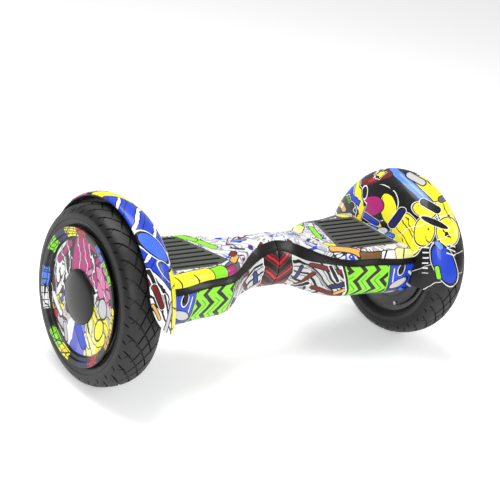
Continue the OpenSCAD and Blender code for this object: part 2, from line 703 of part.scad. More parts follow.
module left_cover_bolts() { color("silver") to_left() cover_bolts(); }
module right_frame() { color("silver") frame(tube_r + bush_t + 0.02); }
module right_axle_clamp() { color("silver") axle_clamp(); }
module right_clamp_bolts() { color("dimgray") clamp_bolts(); }
module right_axle() { color("gray") axle(); }
module right_stator() { color("gray") stator(); }
module right_windings() { color("peru") windings(); }
module right_motor_cable() { color("black") motor_cable(); }
module right_top_cover() { color("royalblue") top_cover(); }
module right_bottom_cover() { color("limegreen") bottom_cover(false); }
module right_bumper_front() { color("dimgray") bumper(-1); }
module right_bumper_rear() { color("dimgray") bumper(1); }
module right_fender() { color("gold") fender(); }
module right_mat() { color("gray") mat(); }
module right_sensor_board() { color("green") sensor_board(); }
module right_screws() { color("dimgray") screws(); }
module right_tyre() { color("black") tyre(); }
module right_tube() { color("dimgray") tube(); }
module right_valve() { color("black") valve(); }
module right_hub() { color("dimgray") hub(); }
module right_magnets() { color("silver") magnets(); }
module right_motor_cover() { color("dimgray") motor_cover(); }
module right_wheel_disc() { color("khaki") wheel_disc(); }
module right_hub_cap() { color("black") hub_cap(); }
module right_bearings() { color("silver") bearings(); }
module right_cover_bolts() { color("silver") cover_bolts(); }

left_frame();
left_axle_clamp();
left_clamp_bolts();
left_axle();
left_stator();
left_windings();
left_motor_cable();
left_top_cover();
left_bottom_cover();
left_bumper_front();
left_bumper_rear();
left_fender();
left_mat();
left_sensor_board();
left_screws();
left_tyre();
left_tube();
left_valve();
left_hub();
left_magnets();
left_motor_cover();
left_wheel_disc();
left_hub_cap();
left_bearings();
left_cover_bolts();
right_frame();
right_axle_clamp();
right_clamp_bolts();
right_axle();
right_stator();
right_windings();
right_motor_cable();
right_top_cover();
right_bottom_cover();
right_bumper_front();
right_bumper_rear();
right_fender();
right_mat();
right_sensor_board();
right_screws();
right_tyre();
right_tube();
right_valve();
right_hub();
right_magnets();
right_motor_cover();
right_wheel_disc();
right_hub_cap();
right_bearings();
right_cover_bolts();
color("silver") pivot_tube();
color("goldenrod") pivot_bushes();
color("dimgray") pivot_clips();
color("green") main_board();
color("steelblue") battery();
color("black") power_button();
color("black") charge_socket();
color("black") charge_cap();
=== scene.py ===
# %% [markdown]
# # A self-balancing board
# The board is two hollow halves that twist against each other on a tube at the waist. Each half
# carries a foot mat, a fender and a wheel with its motor in the hub. The working parts come
# ready-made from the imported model, and this lesson builds the surfaces that people see: moulded
# shells, tyres with cut tread, bevelled mats and glossy printed decoration. Lengths are given in
# millimetres, and a single factor turns them into metres when a mesh is made.

import json
import math

import bmesh
import bpy
from mathutils import Matrix, Vector, geometry

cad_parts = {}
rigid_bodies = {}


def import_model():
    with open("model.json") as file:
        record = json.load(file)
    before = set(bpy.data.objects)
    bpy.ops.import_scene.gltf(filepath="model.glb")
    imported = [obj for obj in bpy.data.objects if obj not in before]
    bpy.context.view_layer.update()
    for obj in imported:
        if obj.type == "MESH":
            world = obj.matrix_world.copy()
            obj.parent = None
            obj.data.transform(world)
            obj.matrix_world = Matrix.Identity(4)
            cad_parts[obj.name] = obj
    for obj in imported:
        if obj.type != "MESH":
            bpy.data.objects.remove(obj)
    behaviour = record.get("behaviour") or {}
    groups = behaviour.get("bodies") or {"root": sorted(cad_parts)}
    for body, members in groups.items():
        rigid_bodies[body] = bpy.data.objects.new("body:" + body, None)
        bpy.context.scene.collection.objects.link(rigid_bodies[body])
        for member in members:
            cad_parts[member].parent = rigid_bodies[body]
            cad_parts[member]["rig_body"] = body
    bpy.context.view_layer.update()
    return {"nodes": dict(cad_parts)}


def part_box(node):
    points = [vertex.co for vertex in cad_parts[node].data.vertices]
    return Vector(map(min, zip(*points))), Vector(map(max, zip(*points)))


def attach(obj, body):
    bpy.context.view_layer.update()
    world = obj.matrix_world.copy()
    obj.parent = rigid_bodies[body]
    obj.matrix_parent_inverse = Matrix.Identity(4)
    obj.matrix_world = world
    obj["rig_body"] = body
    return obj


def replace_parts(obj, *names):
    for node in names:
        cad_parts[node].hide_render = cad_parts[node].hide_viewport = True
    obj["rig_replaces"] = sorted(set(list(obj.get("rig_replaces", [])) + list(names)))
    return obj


MM = 0.001
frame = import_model()

# %% [markdown]
# ## Sizes that every piece shares
# The wheel centre, the end of the body and the height of the deck are read from the boxes of the
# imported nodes, so the new surfaces land on the parts they cover without any fitting by eye. The
# other sizes, such as a wall or the place of a screw, belong to more than one piece or need a name.

# %% Shared sizes


def edge(node, corner, axis):
    """One face of a node's box, in millimetres."""
    return round(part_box(node)[corner][axis] / MM, 3)


WHEEL_X = (edge("right_tyre", 0, 0) + edge("right_tyre", 1, 0)) / 2
AXLE_Z = (edge("right_tyre", 0, 2) + edge("right_tyre", 1, 2)) / 2
TYRE_R = edge("right_tyre", 1, 2) - AXLE_Z
BODY_END = edge("right_bottom_cover", 1, 0)
DECK_Z = edge("right_mat", 1, 2)
BELLY_Z = edge("right_bottom_cover", 0, 2)
PIVOT_Z = (edge("pivot_tube", 0, 2) + edge("pivot_tube", 1, 2)) / 2
SEAT_R = TYRE_R - 47
SEAM = 0.75
WALL = 3.0
BAND = 4.0
FENDER_OUT = TYRE_R + 15  # outer radius of the fender
LIP_X = WHEEL_X + 4  # the fender's outer lip
FACET_GAP = 0.2  # keeps the fender's corners inside the round one of the working model
PORTS = {"charge socket": (-216, 8.2), "power button": (-186, 7.9)}
BELLY_SCREWS = [(98, 28), (150, 38), (216, 42)]
LUG_Y = 28
SIDES = {"left": -1, "right": 1}
print("wheel at", WHEEL_X, AXLE_Z, "deck", DECK_Z, "body end", BODY_END)

# %% [markdown]
# ## Wires: shader maths as plain Python
# A shader's maths is easier to read as an expression than as a page of linked nodes. A Wire wraps
# one socket, and arithmetic on it adds the Math node that does the same sum. One method, `node`,
# makes every other kind: it sets the node's own settings first and then its sockets.

# %% The Wire class


class Wire:
    """A socket in a node tree. Arithmetic on wires adds Math nodes."""

    def __init__(self, tree, socket):
        self.tree, self.socket = tree, socket

    @staticmethod
    def node(tree, kind, settings=None, inputs=None, out=0):
        """Adds a node, its settings first, then its sockets by name or number."""
        made = tree.nodes.new(kind)
        for name, value in (settings or {}).items():
            if name == "stops":
                ramp = made.color_ramp
                while len(ramp.elements) < len(value):
                    ramp.elements.new(0.5)
                for element, (place, colour) in zip(ramp.elements, value):
                    element.position = place
                    element.color = (*colour, 1)
            elif name == "interpolation":
                made.color_ramp.interpolation = value
            else:
                setattr(made, name, value)
        for name, value in (inputs or {}).items():
            if isinstance(value, Wire):
                tree.links.new(value.socket, made.inputs[name])
            else:
                made.inputs[name].default_value = value
        return Wire(tree, made.outputs[out]) if made.outputs else made

    def math(self, operation, *others):
        values = dict(enumerate((self,) + others))
        return Wire.node(self.tree, "ShaderNodeMath", {"operation": operation}, values)

    def turned(self, operation, other):
        """The same sum with the plain number first."""
        return Wire.node(self.tree, "ShaderNodeMath", {"operation": operation}, {0: other, 1: self})

    def __add__(self, other):
        return self.math("ADD", other)

    def __sub__(self, other):
        return self.math("SUBTRACT", other)

    def __rsub__(self, other):
        return self.turned("SUBTRACT", other)

    def __mul__(self, other):
        return self.math("MULTIPLY", other)

    def __truediv__(self, other):
        return self.math("DIVIDE", other)

    def __lt__(self, other):
        return self.math("LESS_THAN", other)

    def __gt__(self, other):
        return self.math("GREATER_THAN", other)

    def __neg__(self):
        return self.math("MULTIPLY", -1.0)

    def __abs__(self):
        return self.math("ABSOLUTE")

    def both(self, other):
        """Where two fields overlap: the larger of two signed distances."""
        return self.math("MAXIMUM", other)

    __radd__ = __add__
    __rmul__ = __mul__


def mix(factor, first, second):
    """A blend of two colours by a factor wire."""
    tree = factor.tree
    padded = [c if isinstance(c, Wire) else (*c, 1) for c in (first, second)]
    return Wire.node(tree, "ShaderNodeMix", {"data_type": "RGBA"},
                     {0: factor, 6: padded[0], 7: padded[1]}, out=2)


def noise(tree, scale, detail=3.0, rough=0.5, vector=None, out=0):
    """Noise on object coordinates, from 0 to 1, scale in waves a metre."""
    place = vector or Wire.node(tree, "ShaderNodeTexCoord", out=3)
    return Wire.node(tree, "ShaderNodeTexNoise", {},
                     {"Vector": place, "Scale": scale, "Detail": detail, "Roughness": rough},
                     out=out)


def places(tree, warp=0.0, scale=30.0):
    """Object coordinates x, y and z in millimetres, shaken by a hand-drawn wobble."""
    spot = Wire.node(tree, "ShaderNodeTexCoord", out=3)
    if warp:
        shake = noise(tree, scale, 2.0, out=1)
        spot = Wire.node(tree, "ShaderNodeVectorMath", {"operation": "MULTIPLY_ADD"},
                         {0: shake, 1: (2 * warp * MM,) * 3, 2: spot})
        spot = Wire.node(tree, "ShaderNodeVectorMath", {"operation": "SUBTRACT"},
                         {0: spot, 1: (warp * MM,) * 3})
    split = Wire.node(tree, "ShaderNodeSeparateXYZ", {}, {0: spot}).socket.node
    return [Wire(tree, split.outputs[i]) * 1000.0 for i in range(3)]


print("wires ready")

# %% [markdown]
# ## Finishes for plain materials
# Moulded plastic, rubber and metal are never one flat value. Each finish here mixes a second shade
# in with slow noise, moves its roughness with fine noise as handling does, and adds a grain of
# the right size as a bump. A few numbers then describe a whole family of materials.

# %% A general finish


def shade(red, green, blue):
    """A display colour, 0 to 255, as the linear values that a shader takes."""
    return tuple(((c / 255 + 0.055) / 1.055) ** 2.4 if c > 10 else c / 3295
                 for c in (red, green, blue))


def close(material, colour, roughness, metal=0.0, coat=0.0, coat_roughness=0.05, bump=None,
          strength=0.2, distance=0.0004, shine=0.5):
    """Ends a material: wires or plain values into the shader, a height wire into a bump."""
    tree = material.node_tree
    inputs = {"Base Color": colour if isinstance(colour, Wire) else (*colour, 1),
              "Roughness": roughness, "Metallic": metal, "Coat Weight": coat,
              "Coat Roughness": coat_roughness, "Specular IOR Level": shine}
    if bump is not None:
        inputs["Normal"] = Wire.node(tree, "ShaderNodeBump", {},
                                     {"Strength": strength, "Distance": distance, "Height": bump})
    shader = Wire.node(tree, "ShaderNodeBsdfPrincipled", {}, inputs)
    Wire.node(tree, "ShaderNodeOutputMaterial", {}, {"Surface": shader})
    return material


def begin(name):
    """An empty material and its node tree."""
    material = bpy.data.materials.new(name)
    material.use_nodes = True
    material.node_tree.nodes.clear()
    return material, material.node_tree


def finish(name, colour, second, roughness, metal=0.0, coat=0.0, grain=900.0, strength=0.15,
           blotch=25.0, scuff=0.12, stretch=None, shine=0.5):
    """A material with slow colour change, fingered roughness and a fine grain."""
    material, tree = begin(name)
    spot = Wire.node(tree, "ShaderNodeTexCoord", out=3)
    if stretch:
        spot = Wire.node(tree, "ShaderNodeMapping", {}, {"Vector": spot, "Scale": stretch})
    slow = noise(tree, blotch, 4.0)
    fine = noise(tree, grain, 3.0, vector=spot)
    rubs = noise(tree, blotch * 9, 5.0, 0.7, vector=spot)
    tint = mix(slow * 1.6 - 0.3, colour, second)
    rough = roughness + (rubs - 0.5) * scuff * 2
    return close(material, tint, rough, metal, coat, bump=fine, strength=strength, shine=shine)


MADE = {
    "black_trim": finish("black_trim", shade(6, 6, 7), shade(16, 16, 17), 0.4, coat=0.1, shine=0.3),
    "gloss_black": finish("gloss_black", shade(3, 3, 4), shade(8, 8, 9), 0.3, coat=0.15,
                          strength=0.04, shine=0.35),
    "black_rubber": finish("black_rubber", shade(26, 26, 27), shade(38, 38, 39), 0.7, grain=600.0),
    "inner_tube": finish("inner_tube", shade(22, 22, 23), shade(36, 36, 37), 0.55),
    "cast_alloy": finish("cast_alloy", shade(150, 152, 155), shade(120, 122, 126), 0.5, metal=1.0,
                         grain=400.0, strength=0.35),
    "hub_black": finish("hub_black", shade(16, 16, 17), shade(30, 30, 32), 0.34, coat=0.3,
                        grain=700.0, strength=0.12),
    "steel": finish("steel", shade(190, 190, 188), shade(160, 160, 160), 0.3, metal=1.0,
                    stretch=(1, 14, 14)),
    "dark_steel": finish("dark_steel", shade(62, 60, 58), shade(42, 42, 42), 0.4, metal=1.0),
    "bearing_steel": finish("bearing_steel", shade(205, 205, 202), shade(180, 180, 180), 0.18,
                            metal=1.0, strength=0.05),
    "lamination": finish("lamination", shade(118, 116, 112), shade(86, 84, 82), 0.45, metal=1.0,
                         stretch=(30, 1, 1), strength=0.4),
    "copper": finish("copper", shade(196, 108, 60), shade(160, 78, 40), 0.3, metal=1.0,
                     stretch=(1, 12, 12), strength=0.5),
    "magnet": finish("magnet", shade(170, 170, 172), shade(140, 140, 144), 0.25, metal=1.0),
    "bronze": finish("bronze", shade(176, 132, 70), shade(140, 100, 52), 0.35, metal=1.0),
    "circuit_board": finish("circuit_board", shade(16, 84, 46), shade(12, 62, 38), 0.4, coat=0.4,
                            blotch=240.0),
    "battery_wrap": finish("battery_wrap", shade(36, 74, 150), shade(28, 56, 120), 0.32, coat=0.5,
                           grain=160.0, strength=0.4),
    "cable_black": finish("cable_black", shade(24, 24, 25), shade(34, 34, 35), 0.5),
}
print(len(MADE), "plain finishes")

# %% [markdown]
# ## Painted decoration
# The shells of such boards are covered by a glossy printed film of spray-paint shapes. It could be
# an image wrapped on the surface, but shapes made of maths stay sharp at any distance. Each shape
# is a signed distance in millimetres: negative inside, positive outside. A layer paints its colour
# inside, an ink line round it, and sometimes a thin white halo outside the ink.

# %% Shapes and layers

BLACK = shade(5, 5, 6)
WHITE = shade(240, 240, 240)
SILVER = shade(198, 198, 200)
GREY = shade(98, 98, 101)
YELLOW = shade(250, 240, 40)
PALE = shade(247, 246, 165)
LIME = shade(140, 228, 22)
GREEN = shade(66, 140, 30)
BLUE = shade(22, 66, 205)
SKY = shade(88, 138, 240)
NAVY = shade(22, 26, 92)
MAGENTA = shade(178, 22, 116)
PINK = shade(226, 112, 172)
RED = shade(196, 30, 48)
WINE = shade(112, 22, 26)
TAN = shade(226, 172, 84)


def blob(a, b, ca, cb, ra, rb=None, turn=0.0):
    """An ellipse, turned by so many degrees."""
    rb = rb or ra
    c, s = math.cos(math.radians(turn)), math.sin(math.radians(turn))
    da, db = a - ca, b - cb
    p = (da * c + db * s) / ra
    q = (db * c - da * s) / rb
    return ((p * p + q * q).math("SQRT") - 1.0) * min(ra, rb)


def bar(a, b, start, end, width):
    """A straight stroke with round ends between two points."""
    (x0, y0), (x1, y1) = start, end
    length = math.hypot(x1 - x0, y1 - y0)
    ux, uy = (x1 - x0) / length, (y1 - y0) / length
    along = (a - x0) * ux + (b - y0) * uy
    held = along.math("MAXIMUM", 0.0).math("MINIMUM", length)
    da, db = a - x0 - held * ux, b - y0 - held * uy
    return (da * da + db * db).math("SQRT") - width / 2


def stripes(value, period, width):
    """Repeated stripes of a field."""
    return abs((value / period).math("FRACT") - 0.5) * period - width / 2


class Print:
    """Layers of paint on a base colour, drawn on the plane of two coordinates a and b."""

    def __init__(self, tree, base, a, b):
        self.tree, self.colour, self.a, self.b = tree, base, a, b

    def add(self, field, colour, ink=0.0, halo=0.0):
        if halo:
            self.colour = mix(field < ink + halo, self.colour, WHITE)
        if ink:
            self.colour = mix(field < ink, self.colour, BLACK)
        self.colour = mix(field < 0.0, self.colour, colour)
        return self

    def bar(self, start, end, width, *paint):
        """A round-ended stroke as one layer."""
        return self.add(bar(self.a, self.b, start, end, width), *paint)

    def blob(self, shape, *paint):
        """An ellipse as one layer: its centre, its radii and its turn."""
        return self.add(blob(self.a, self.b, *shape), *paint)

    def close(self, material):
        """Glossy film: a clear coat over paint, faint waviness and rubbed patches."""
        rubs = noise(self.tree, 160.0, 5.0, 0.7)
        peel = noise(self.tree, 260.0, 2.0)
        fleck = noise(self.tree, 45.0, 6.0, 0.75)
        tint = mix((fleck - 0.5) * 0.3, self.colour, shade(120, 120, 120))
        return close(material, tint, 0.4 + (rubs - 0.5) * 0.16, coat=0.3,
                     coat_roughness=0.08, bump=peel, strength=0.05, shine=0.3)


print("paint shapes ready")

# %% [markdown]
# ## The print on the skirts
# Under the band the print changes along the board: pale bone-like streaks that arch round the
# waist, then lime spikes, then blue with silver strokes near the wheels. The distance from the
# waist is the first coordinate, so both halves mirror each other as the real film does.

# %% Skirt print


def skirt_print():
    material, tree = begin("skirt_print")
    x, _, z = places(tree, 2.2, 34.0)
    a = abs(x)
    art = Print(tree, shade(206, 206, 204), a, z)
    arch = blob(a, z, 0, 62, 1, 1) + noise(tree, 22.0, 2.0) * 26
    art.add(stripes(arch, 13.5, 3.4), BLACK)
    art.add(stripes(arch + 5.0, 13.5, 1.4).both(noise(tree, 30.0) * 60.0 - 31.0), shade(70, 70, 76))
    art.add(stripes(arch + 9.0, 27.0, 2.8).both(noise(tree, 22.0) * 60.0 - 31.0),
            shade(150, 150, 156))
    art.bar((46, 112), (66, 136), 5, WINE, 1.2)
    art.bar((72, 112), (106, 104), 7, WINE, 1.0)
    art.bar((60, 150), (108, 144), 6, WINE, 1.4)
    art.bar((92, 120), (108, 127), 6, NAVY, 2.0)
    art.bar((38, 130), (44, 146), 5, shade(44, 52, 120), 2.0)
    art.bar((84, 152), (96, 130), 4.5, BLACK, 0.0, 1.0)
    art.bar((48, 108), (62, 118), 7, BLACK, 0.0, 1.2)
    art.bar((112, 118), (100, 108), 5, TAN, 1.6)
    waist = a - 20.0 - noise(tree, 60.0, 2.0) * 14
    art.add(waist, BLACK, 0.0, 1.2)
    art.add(stripes(a * 0.7 - z, 12.0, 3.6).both(waist + 2.5), WINE)
    art.add(stripes(a * 0.7 - z, 24.0, 4.4).both(waist + 2.5), RED)
    lime = (112.0 - a - (z - 125.0) * 0.35).both(a - 184.0 + (z - 125.0) * 0.12)
    art.add(lime, LIME, 3.5, 1.6)
    bend = abs(((z - 100.0) / 32.0).math("FRACT") - 0.5) * 34.0
    art.add(stripes(a + bend, 25.0, 8.5).both(lime + 2.0), BLACK)
    art.add(stripes(a + bend + 12.5, 25.0, 2.0).both(lime + 2.0).both(z - 140.0), GREEN)
    art.add((z - 110.0 + noise(tree, 60.0, 2.0) * 8).both(lime + 3.0), GREEN)
    blue = 186.0 - a - (z - 125.0) * 0.12
    art.add(blue, BLUE, 1.5)
    art.add(bar(a, z, (189, 150), (193, 118), 1.8).both(blue), WHITE)
    art.add(blob(a, z, 203, 124, 15, 6.5, 28).both(blue), SILVER, 1.6)
    art.add(blob(a, z, 206, 107, 19, 5.5, 12).both(blue), GREY, 1.6)
    art.add(blob(a, z, 198, 105, 8, 3.0, 10).both(blue), SILVER)
    art.bar((219, 143), (236, 128), 4.5, WHITE, 1.4)
    art.bar((213, 112), (238, 97), 6.0, SKY, 1.6)
    art.bar((222, 122), (238, 112), 3.2, SILVER, 1.2)
    art.blob((202, 148, 6.8, 10.5), WHITE)
    art.blob((202, 148, 5.2, 8.8), BLACK)
    art.add(z - 95.4, shade(40, 40, 42))
    return art.close(material)


# %% [markdown]
# ## The print on the deck
# Seen from above the film is white, crossed by thin swirls of ink, wine and blue, with strong
# colours beside the mats. Swirls are the level lines of slow noise. The two halves differ in the
# colours of their edges, so one function takes a side's list of patches.

# %% Deck print

DECK_PATCHES = {
    "left": [
        ((96, -52), (112, -62), 16, GREY), ((104, -60), (124, -67), 10, MAGENTA),
        ((128, -64), (150, -71), 18, LIME), ((156, -72), (240, -84), 26, YELLOW),
        ((84, -34), (98, -46), 9, TAN), ((118, 62), (176, 66), 16, YELLOW),
        ((186, 66), (240, 74), 34, GREY), ((98, 4), (112, 34), 13, LIME),
        ((112, 34), (130, 54), 12, LIME), ((176, 74), (196, 62), 2.4, WHITE),
        ((78, -22), (88, -30), 8, WINE),
    ],
    "right": [
        ((90, -44), (128, -62), 10, TAN), ((134, -66), (166, -72), 8, shade(120, 84, 40)),
        ((172, -74), (196, -78), 9, WHITE), ((200, -78), (240, -84), 14, PALE),
        ((62, 46), (92, 62), 9, MAGENTA), ((100, 50), (112, 66), 13, LIME),
        ((124, 64), (184, 74), 26, GREY), ((196, 66), (206, 58), 12, YELLOW),
        ((214, 40), (236, 66), 14, TAN), ((96, -6), (110, 32), 8, LIME),
        ((74, 22), (92, 40), 14, PALE), ((90, -28), (102, -36), 8, YELLOW),
    ],
}


def deck_print(side):
    material, tree = begin(side + "_deck_print")
    x, y, _ = places(tree, 2.6, 30.0)
    a = abs(x)
    art = Print(tree, shade(228, 228, 228), a, y)
    swirl = noise(tree, 21.0, 2.0) * 120.0 + a * 0.45
    art.add(stripes(swirl + 5.0, 13.0, 3.2), shade(176, 176, 182))
    art.add(stripes(swirl, 13.0, 1.8).both(noise(tree, 17.0) * 60.0 - 31.0), shade(40, 40, 46))
    streak = noise(tree, 24.0, 2.0) * 110.0 - a * 0.5 + y * 0.3
    art.add(stripes(streak, 19.0, 3.0).both(noise(tree, 23.0) * -60.0 + 30.5), WINE)
    art.add(stripes(streak + 8.0, 26.0, 2.2).both(noise(tree, 29.0) * 60.0 - 35.0), BLUE)
    art.bar((44, 2), (60, 9), 5, SKY, 1.4)
    art.bar((60, -20), (74, -8), 3, NAVY, 0.8)
    art.bar((26, -18), (44, -30), 4.5, WINE, 0.8)
    art.bar((18, 22), (48, 32), 3.2, WINE, 0.6)
    for start, end, width, colour in DECK_PATCHES[side]:
        art.bar(start, end, width, colour, 1.5)
    art.bar((172, -75), (180, -70), 2.2, BLACK)
    art.bar((206, -82), (214, -72), 2.0, BLACK)
    art.add(234.4 - a, BLACK)
    return art.close(material)


# %% [markdown]
# ## The print on the fenders
# The left fender carries blue and white sweeps that follow the wheel, so its pattern uses the
# angle round the axle. The right one has large yellow and black shapes seen from the side, so
# its pattern is flat, across the board and upwards.

# %% Fender prints


def round_axle(x, y, z):
    """Distance along the fender's arc from its front foot, and across it from the lip."""
    up, ahead = z - AXLE_Z, -y
    turn = up.math("ARCTAN2", ahead)
    return turn * FENDER_OUT, LIP_X - abs(x)


def left_fender_print():
    material, tree = begin("left_fender_print")
    x, y, z = places(tree, 2.4, 26.0)
    arc, across = round_axle(x, y, z)
    torn = noise(tree, 24.0, 3.0) * 40.0
    art = Print(tree, WHITE, arc, across)
    art.add(stripes(arc * 0.5 + across + torn, 15.0, 3.0), BLACK)
    art.add(stripes(arc * 0.5 + across + torn + 6.0, 45.0, 4.2), WINE)
    sweep = arc + across * 1.1
    art.add((100.0 - sweep).both(sweep - 262.0), BLUE, 2.4)
    art.add(stripes(arc * 0.5 - across * 0.7 + torn * 0.4, 24.0, 4.2).both(104.0 - arc)
            .both(arc - 236.0), WHITE, 1.2)
    art.add(stripes(arc * 0.5 - across * 0.7 + torn * 0.4 + 9.0, 24.0, 1.4).both(100.0 - sweep)
            .both(sweep - 262.0), NAVY)
    art.blob((124, 20, 26, 12, -40), shade(64, 110, 232), 2.0, 1.4)
    art.blob((86, 34, 18, 8, -48), BLUE, 1.8, 1.0)
    art.bar((70, 8), (92, 2), 5.0, BLACK, 0.0, 1.2)
    art.bar((44, 14), (70, 6), 6.0, WINE, 1.5, 0.8)
    art.bar((28, 10), (46, 2), 3.4, TAN, 1.2)
    art.bar((30, 26), (58, 20), 4.0, BLACK, 0.0, 1.0)
    art.bar((6, 20), (44, 34), 6.0, SILVER, 2.0)
    art.add((240.0 - sweep).both(sweep - 262.0 - torn * 0.4), YELLOW, 2.4)
    art.add((284.0 - sweep).both(sweep - 306.0 - torn * 0.6), PINK, 2.0)
    art.add((352.0 - sweep), BLUE, 2.4)
    art.add(stripes(arc * 0.4 - across, 26.0, 5.0).both(352.0 - arc), WHITE, 1.0)
    art.blob((214, 44, 18, 10, 30), YELLOW, 1.8)
    inner_foot = (abs(x) - 250.0 - noise(tree, 30.0) * 6).both(y + 56.0).both(z - 205.0)
    art.add(inner_foot, YELLOW, 2.4)
    art.add(stripes(z + noise(tree, 40.0) * 20, 26.0, 1.6).both(inner_foot), BLACK)
    return art.close(material)


def laid_on(x, y, z):
    """Flat coordinates of a film laid over the right fender from its front left and from above."""
    dx, dy, dz = x - 250.0, y, z - 200.0
    return (dx * 0.793 - dy * 0.586 + dz * 0.168), (dx * 0.093 + dy * 0.389 + dz * 0.916)


def right_fender_print():
    material, tree = begin("right_fender_print")
    x, y, z = places(tree, 2.0, 28.0)
    p, q = laid_on(x, y, z)
    art = Print(tree, BLACK, p, q)
    ring = abs(blob(p, q, -27, 19, 30, 30)) - 0.7
    art.add(ring.both(q - 48.0).both(-22.0 - p), WHITE)
    art.blob((80, 24, 20, 40, -8), YELLOW, 1.4, 1.0)
    art.blob((76, -28, 18, 22), YELLOW, 1.4, 1.0)
    art.blob((50, 41, 26, 19, -32), YELLOW, 1.4, 1.0)
    art.blob((41, 6, 17, 11, -20), YELLOW, 1.2, 1.0)
    art.blob((14, -32, 20, 33, 14), YELLOW, 1.2, 1.0)
    art.add(stripes(p + q * 0.6 + noise(tree, 30.0) * 12, 15.0, 1.6)
            .both(blob(p, q, 14, -32, 15, 27, 14)), BLACK)
    art.blob((40, -27, 14, 22, -12), YELLOW, 1.4, 0.8)
    art.blob((-11, 8, 11, 25, 8), YELLOW, 1.2)
    art.blob((-32, -26, 9, 15, -30), YELLOW, 1.4)
    art.blob((-34, 14, 16, 15), MAGENTA, 1.4)
    crack = p * 0.9 + q * 0.4 + noise(tree, 26.0) * 44
    art.add(stripes(crack, 21.0, 1.6).both(noise(tree, 33.0) * 60.0 - 30.0), BLACK)
    art.add(stripes(p * 0.5 - q + noise(tree, 16.0) * 30, 34.0, 1.1)
            .both(q - 6.0).both(-6.0 - p), WHITE)
    art.bar((2, 70), (47, 17), 13, SKY, 1.8)
    art.bar((10, 64), (40, 28), 3, shade(140, 178, 250))
    art.bar((24, 62), (42, 50), 10, SILVER, 2.2)
    art.bar((40, 18), (60, 6), 12, BLACK, 0.0, 0.9)
    art.bar((68, 22), (86, 30), 9, GREY, 1.2)
    art.blob((56, -14, 22, 5, -24), BLACK, 0.0, 0.8)
    art.bar((-6, -16), (8, 4), 8, NAVY, 2.0, 0.9)
    art.bar((-42, 52), (-8, 66), 11, WINE, 1.4)
    art.bar((-36, 54), (-18, 62), 3.5, RED)
    art.blob((-44, 36, 4, 10, -8), BLACK, 0.0, 1.0)
    art.bar((-60, 50), (-54, 36), 5, SKY, 1.4, 0.9)
    art.bar((-72, 40), (-66, 22), 4, GREEN, 1.2)
    art.bar((-80, 22), (-74, 10), 6, TAN, 1.4)
    art.bar((-56, 8), (-28, -14), 6, BLUE, 1.4, 0.8)
    art.bar((-40, -18), (-6, -34), 5, SKY, 1.4, 0.8)
    art.blob((-20, -26, 7, 5), WHITE, 1.2)
    art.blob((70, -78, 15, 32, 24), BLUE, 2.0, 0.9)
    art.bar((58, -46), (64, -52), 7, SKY, 1.2)
    art.bar((59, -84), (62, -98), 6, LIME, 1.6)
    art.add(stripes(q, 8.0, 2.0).both(abs(p - 40.0 - noise(tree, 60.0) * 4) - 4.5).both(q + 50.0)
            .both(-92.0 - q), WHITE)
    art.add(stripes(q + p * 0.4, 7.0, 1.8).both(abs(p - 80.0) - 7.0).both(q + 44.0)
            .both(-66.0 - q), WHITE)
    art.add(stripes(p + noise(tree, 14.0) * 60.0, 38.0, 9.0).both(40.0 - y), YELLOW, 1.8, 0.9)
    art.add(stripes(z + noise(tree, 15.0) * 60.0, 52.0, 8.0).both(56.0 - y), BLUE, 1.8, 0.9)
    return art.close(material)


# %% [markdown]
# ## The print on the wheel discs
# The dish is divided into sectors of strong colour with torn edges, crossed by ink, and its raised
# rim carries a busy ring of short bright blocks. Both follow the angle round the axle: a colour
# ramp with hard steps turns an angle into a colour. Strokes on top are laid out flat.

# %% Wheel disc print

RING = [LIME, YELLOW, BLACK, NAVY, RED, BLACK, TAN, YELLOW, BLACK, LIME, SKY, BLACK, RED, YELLOW,
        NAVY, LIME, BLACK, SKY, WHITE, BLACK]
DISH = [YELLOW, YELLOW, SILVER, PINK, PINK, MAGENTA, MAGENTA, MAGENTA, BLACK, WHITE, WHITE, BLACK,
        YELLOW, SILVER, WHITE, shade(88, 96, 206), shade(120, 128, 226), PALE]


def steps(tree, value, colours):
    """A value from 0 to 1 as one of the colours, with hard edges."""
    stops = [(i / len(colours), c) for i, c in enumerate(colours)]
    return Wire.node(tree, "ShaderNodeValToRGB", {"stops": stops, "interpolation": "CONSTANT"},
                     {0: value})


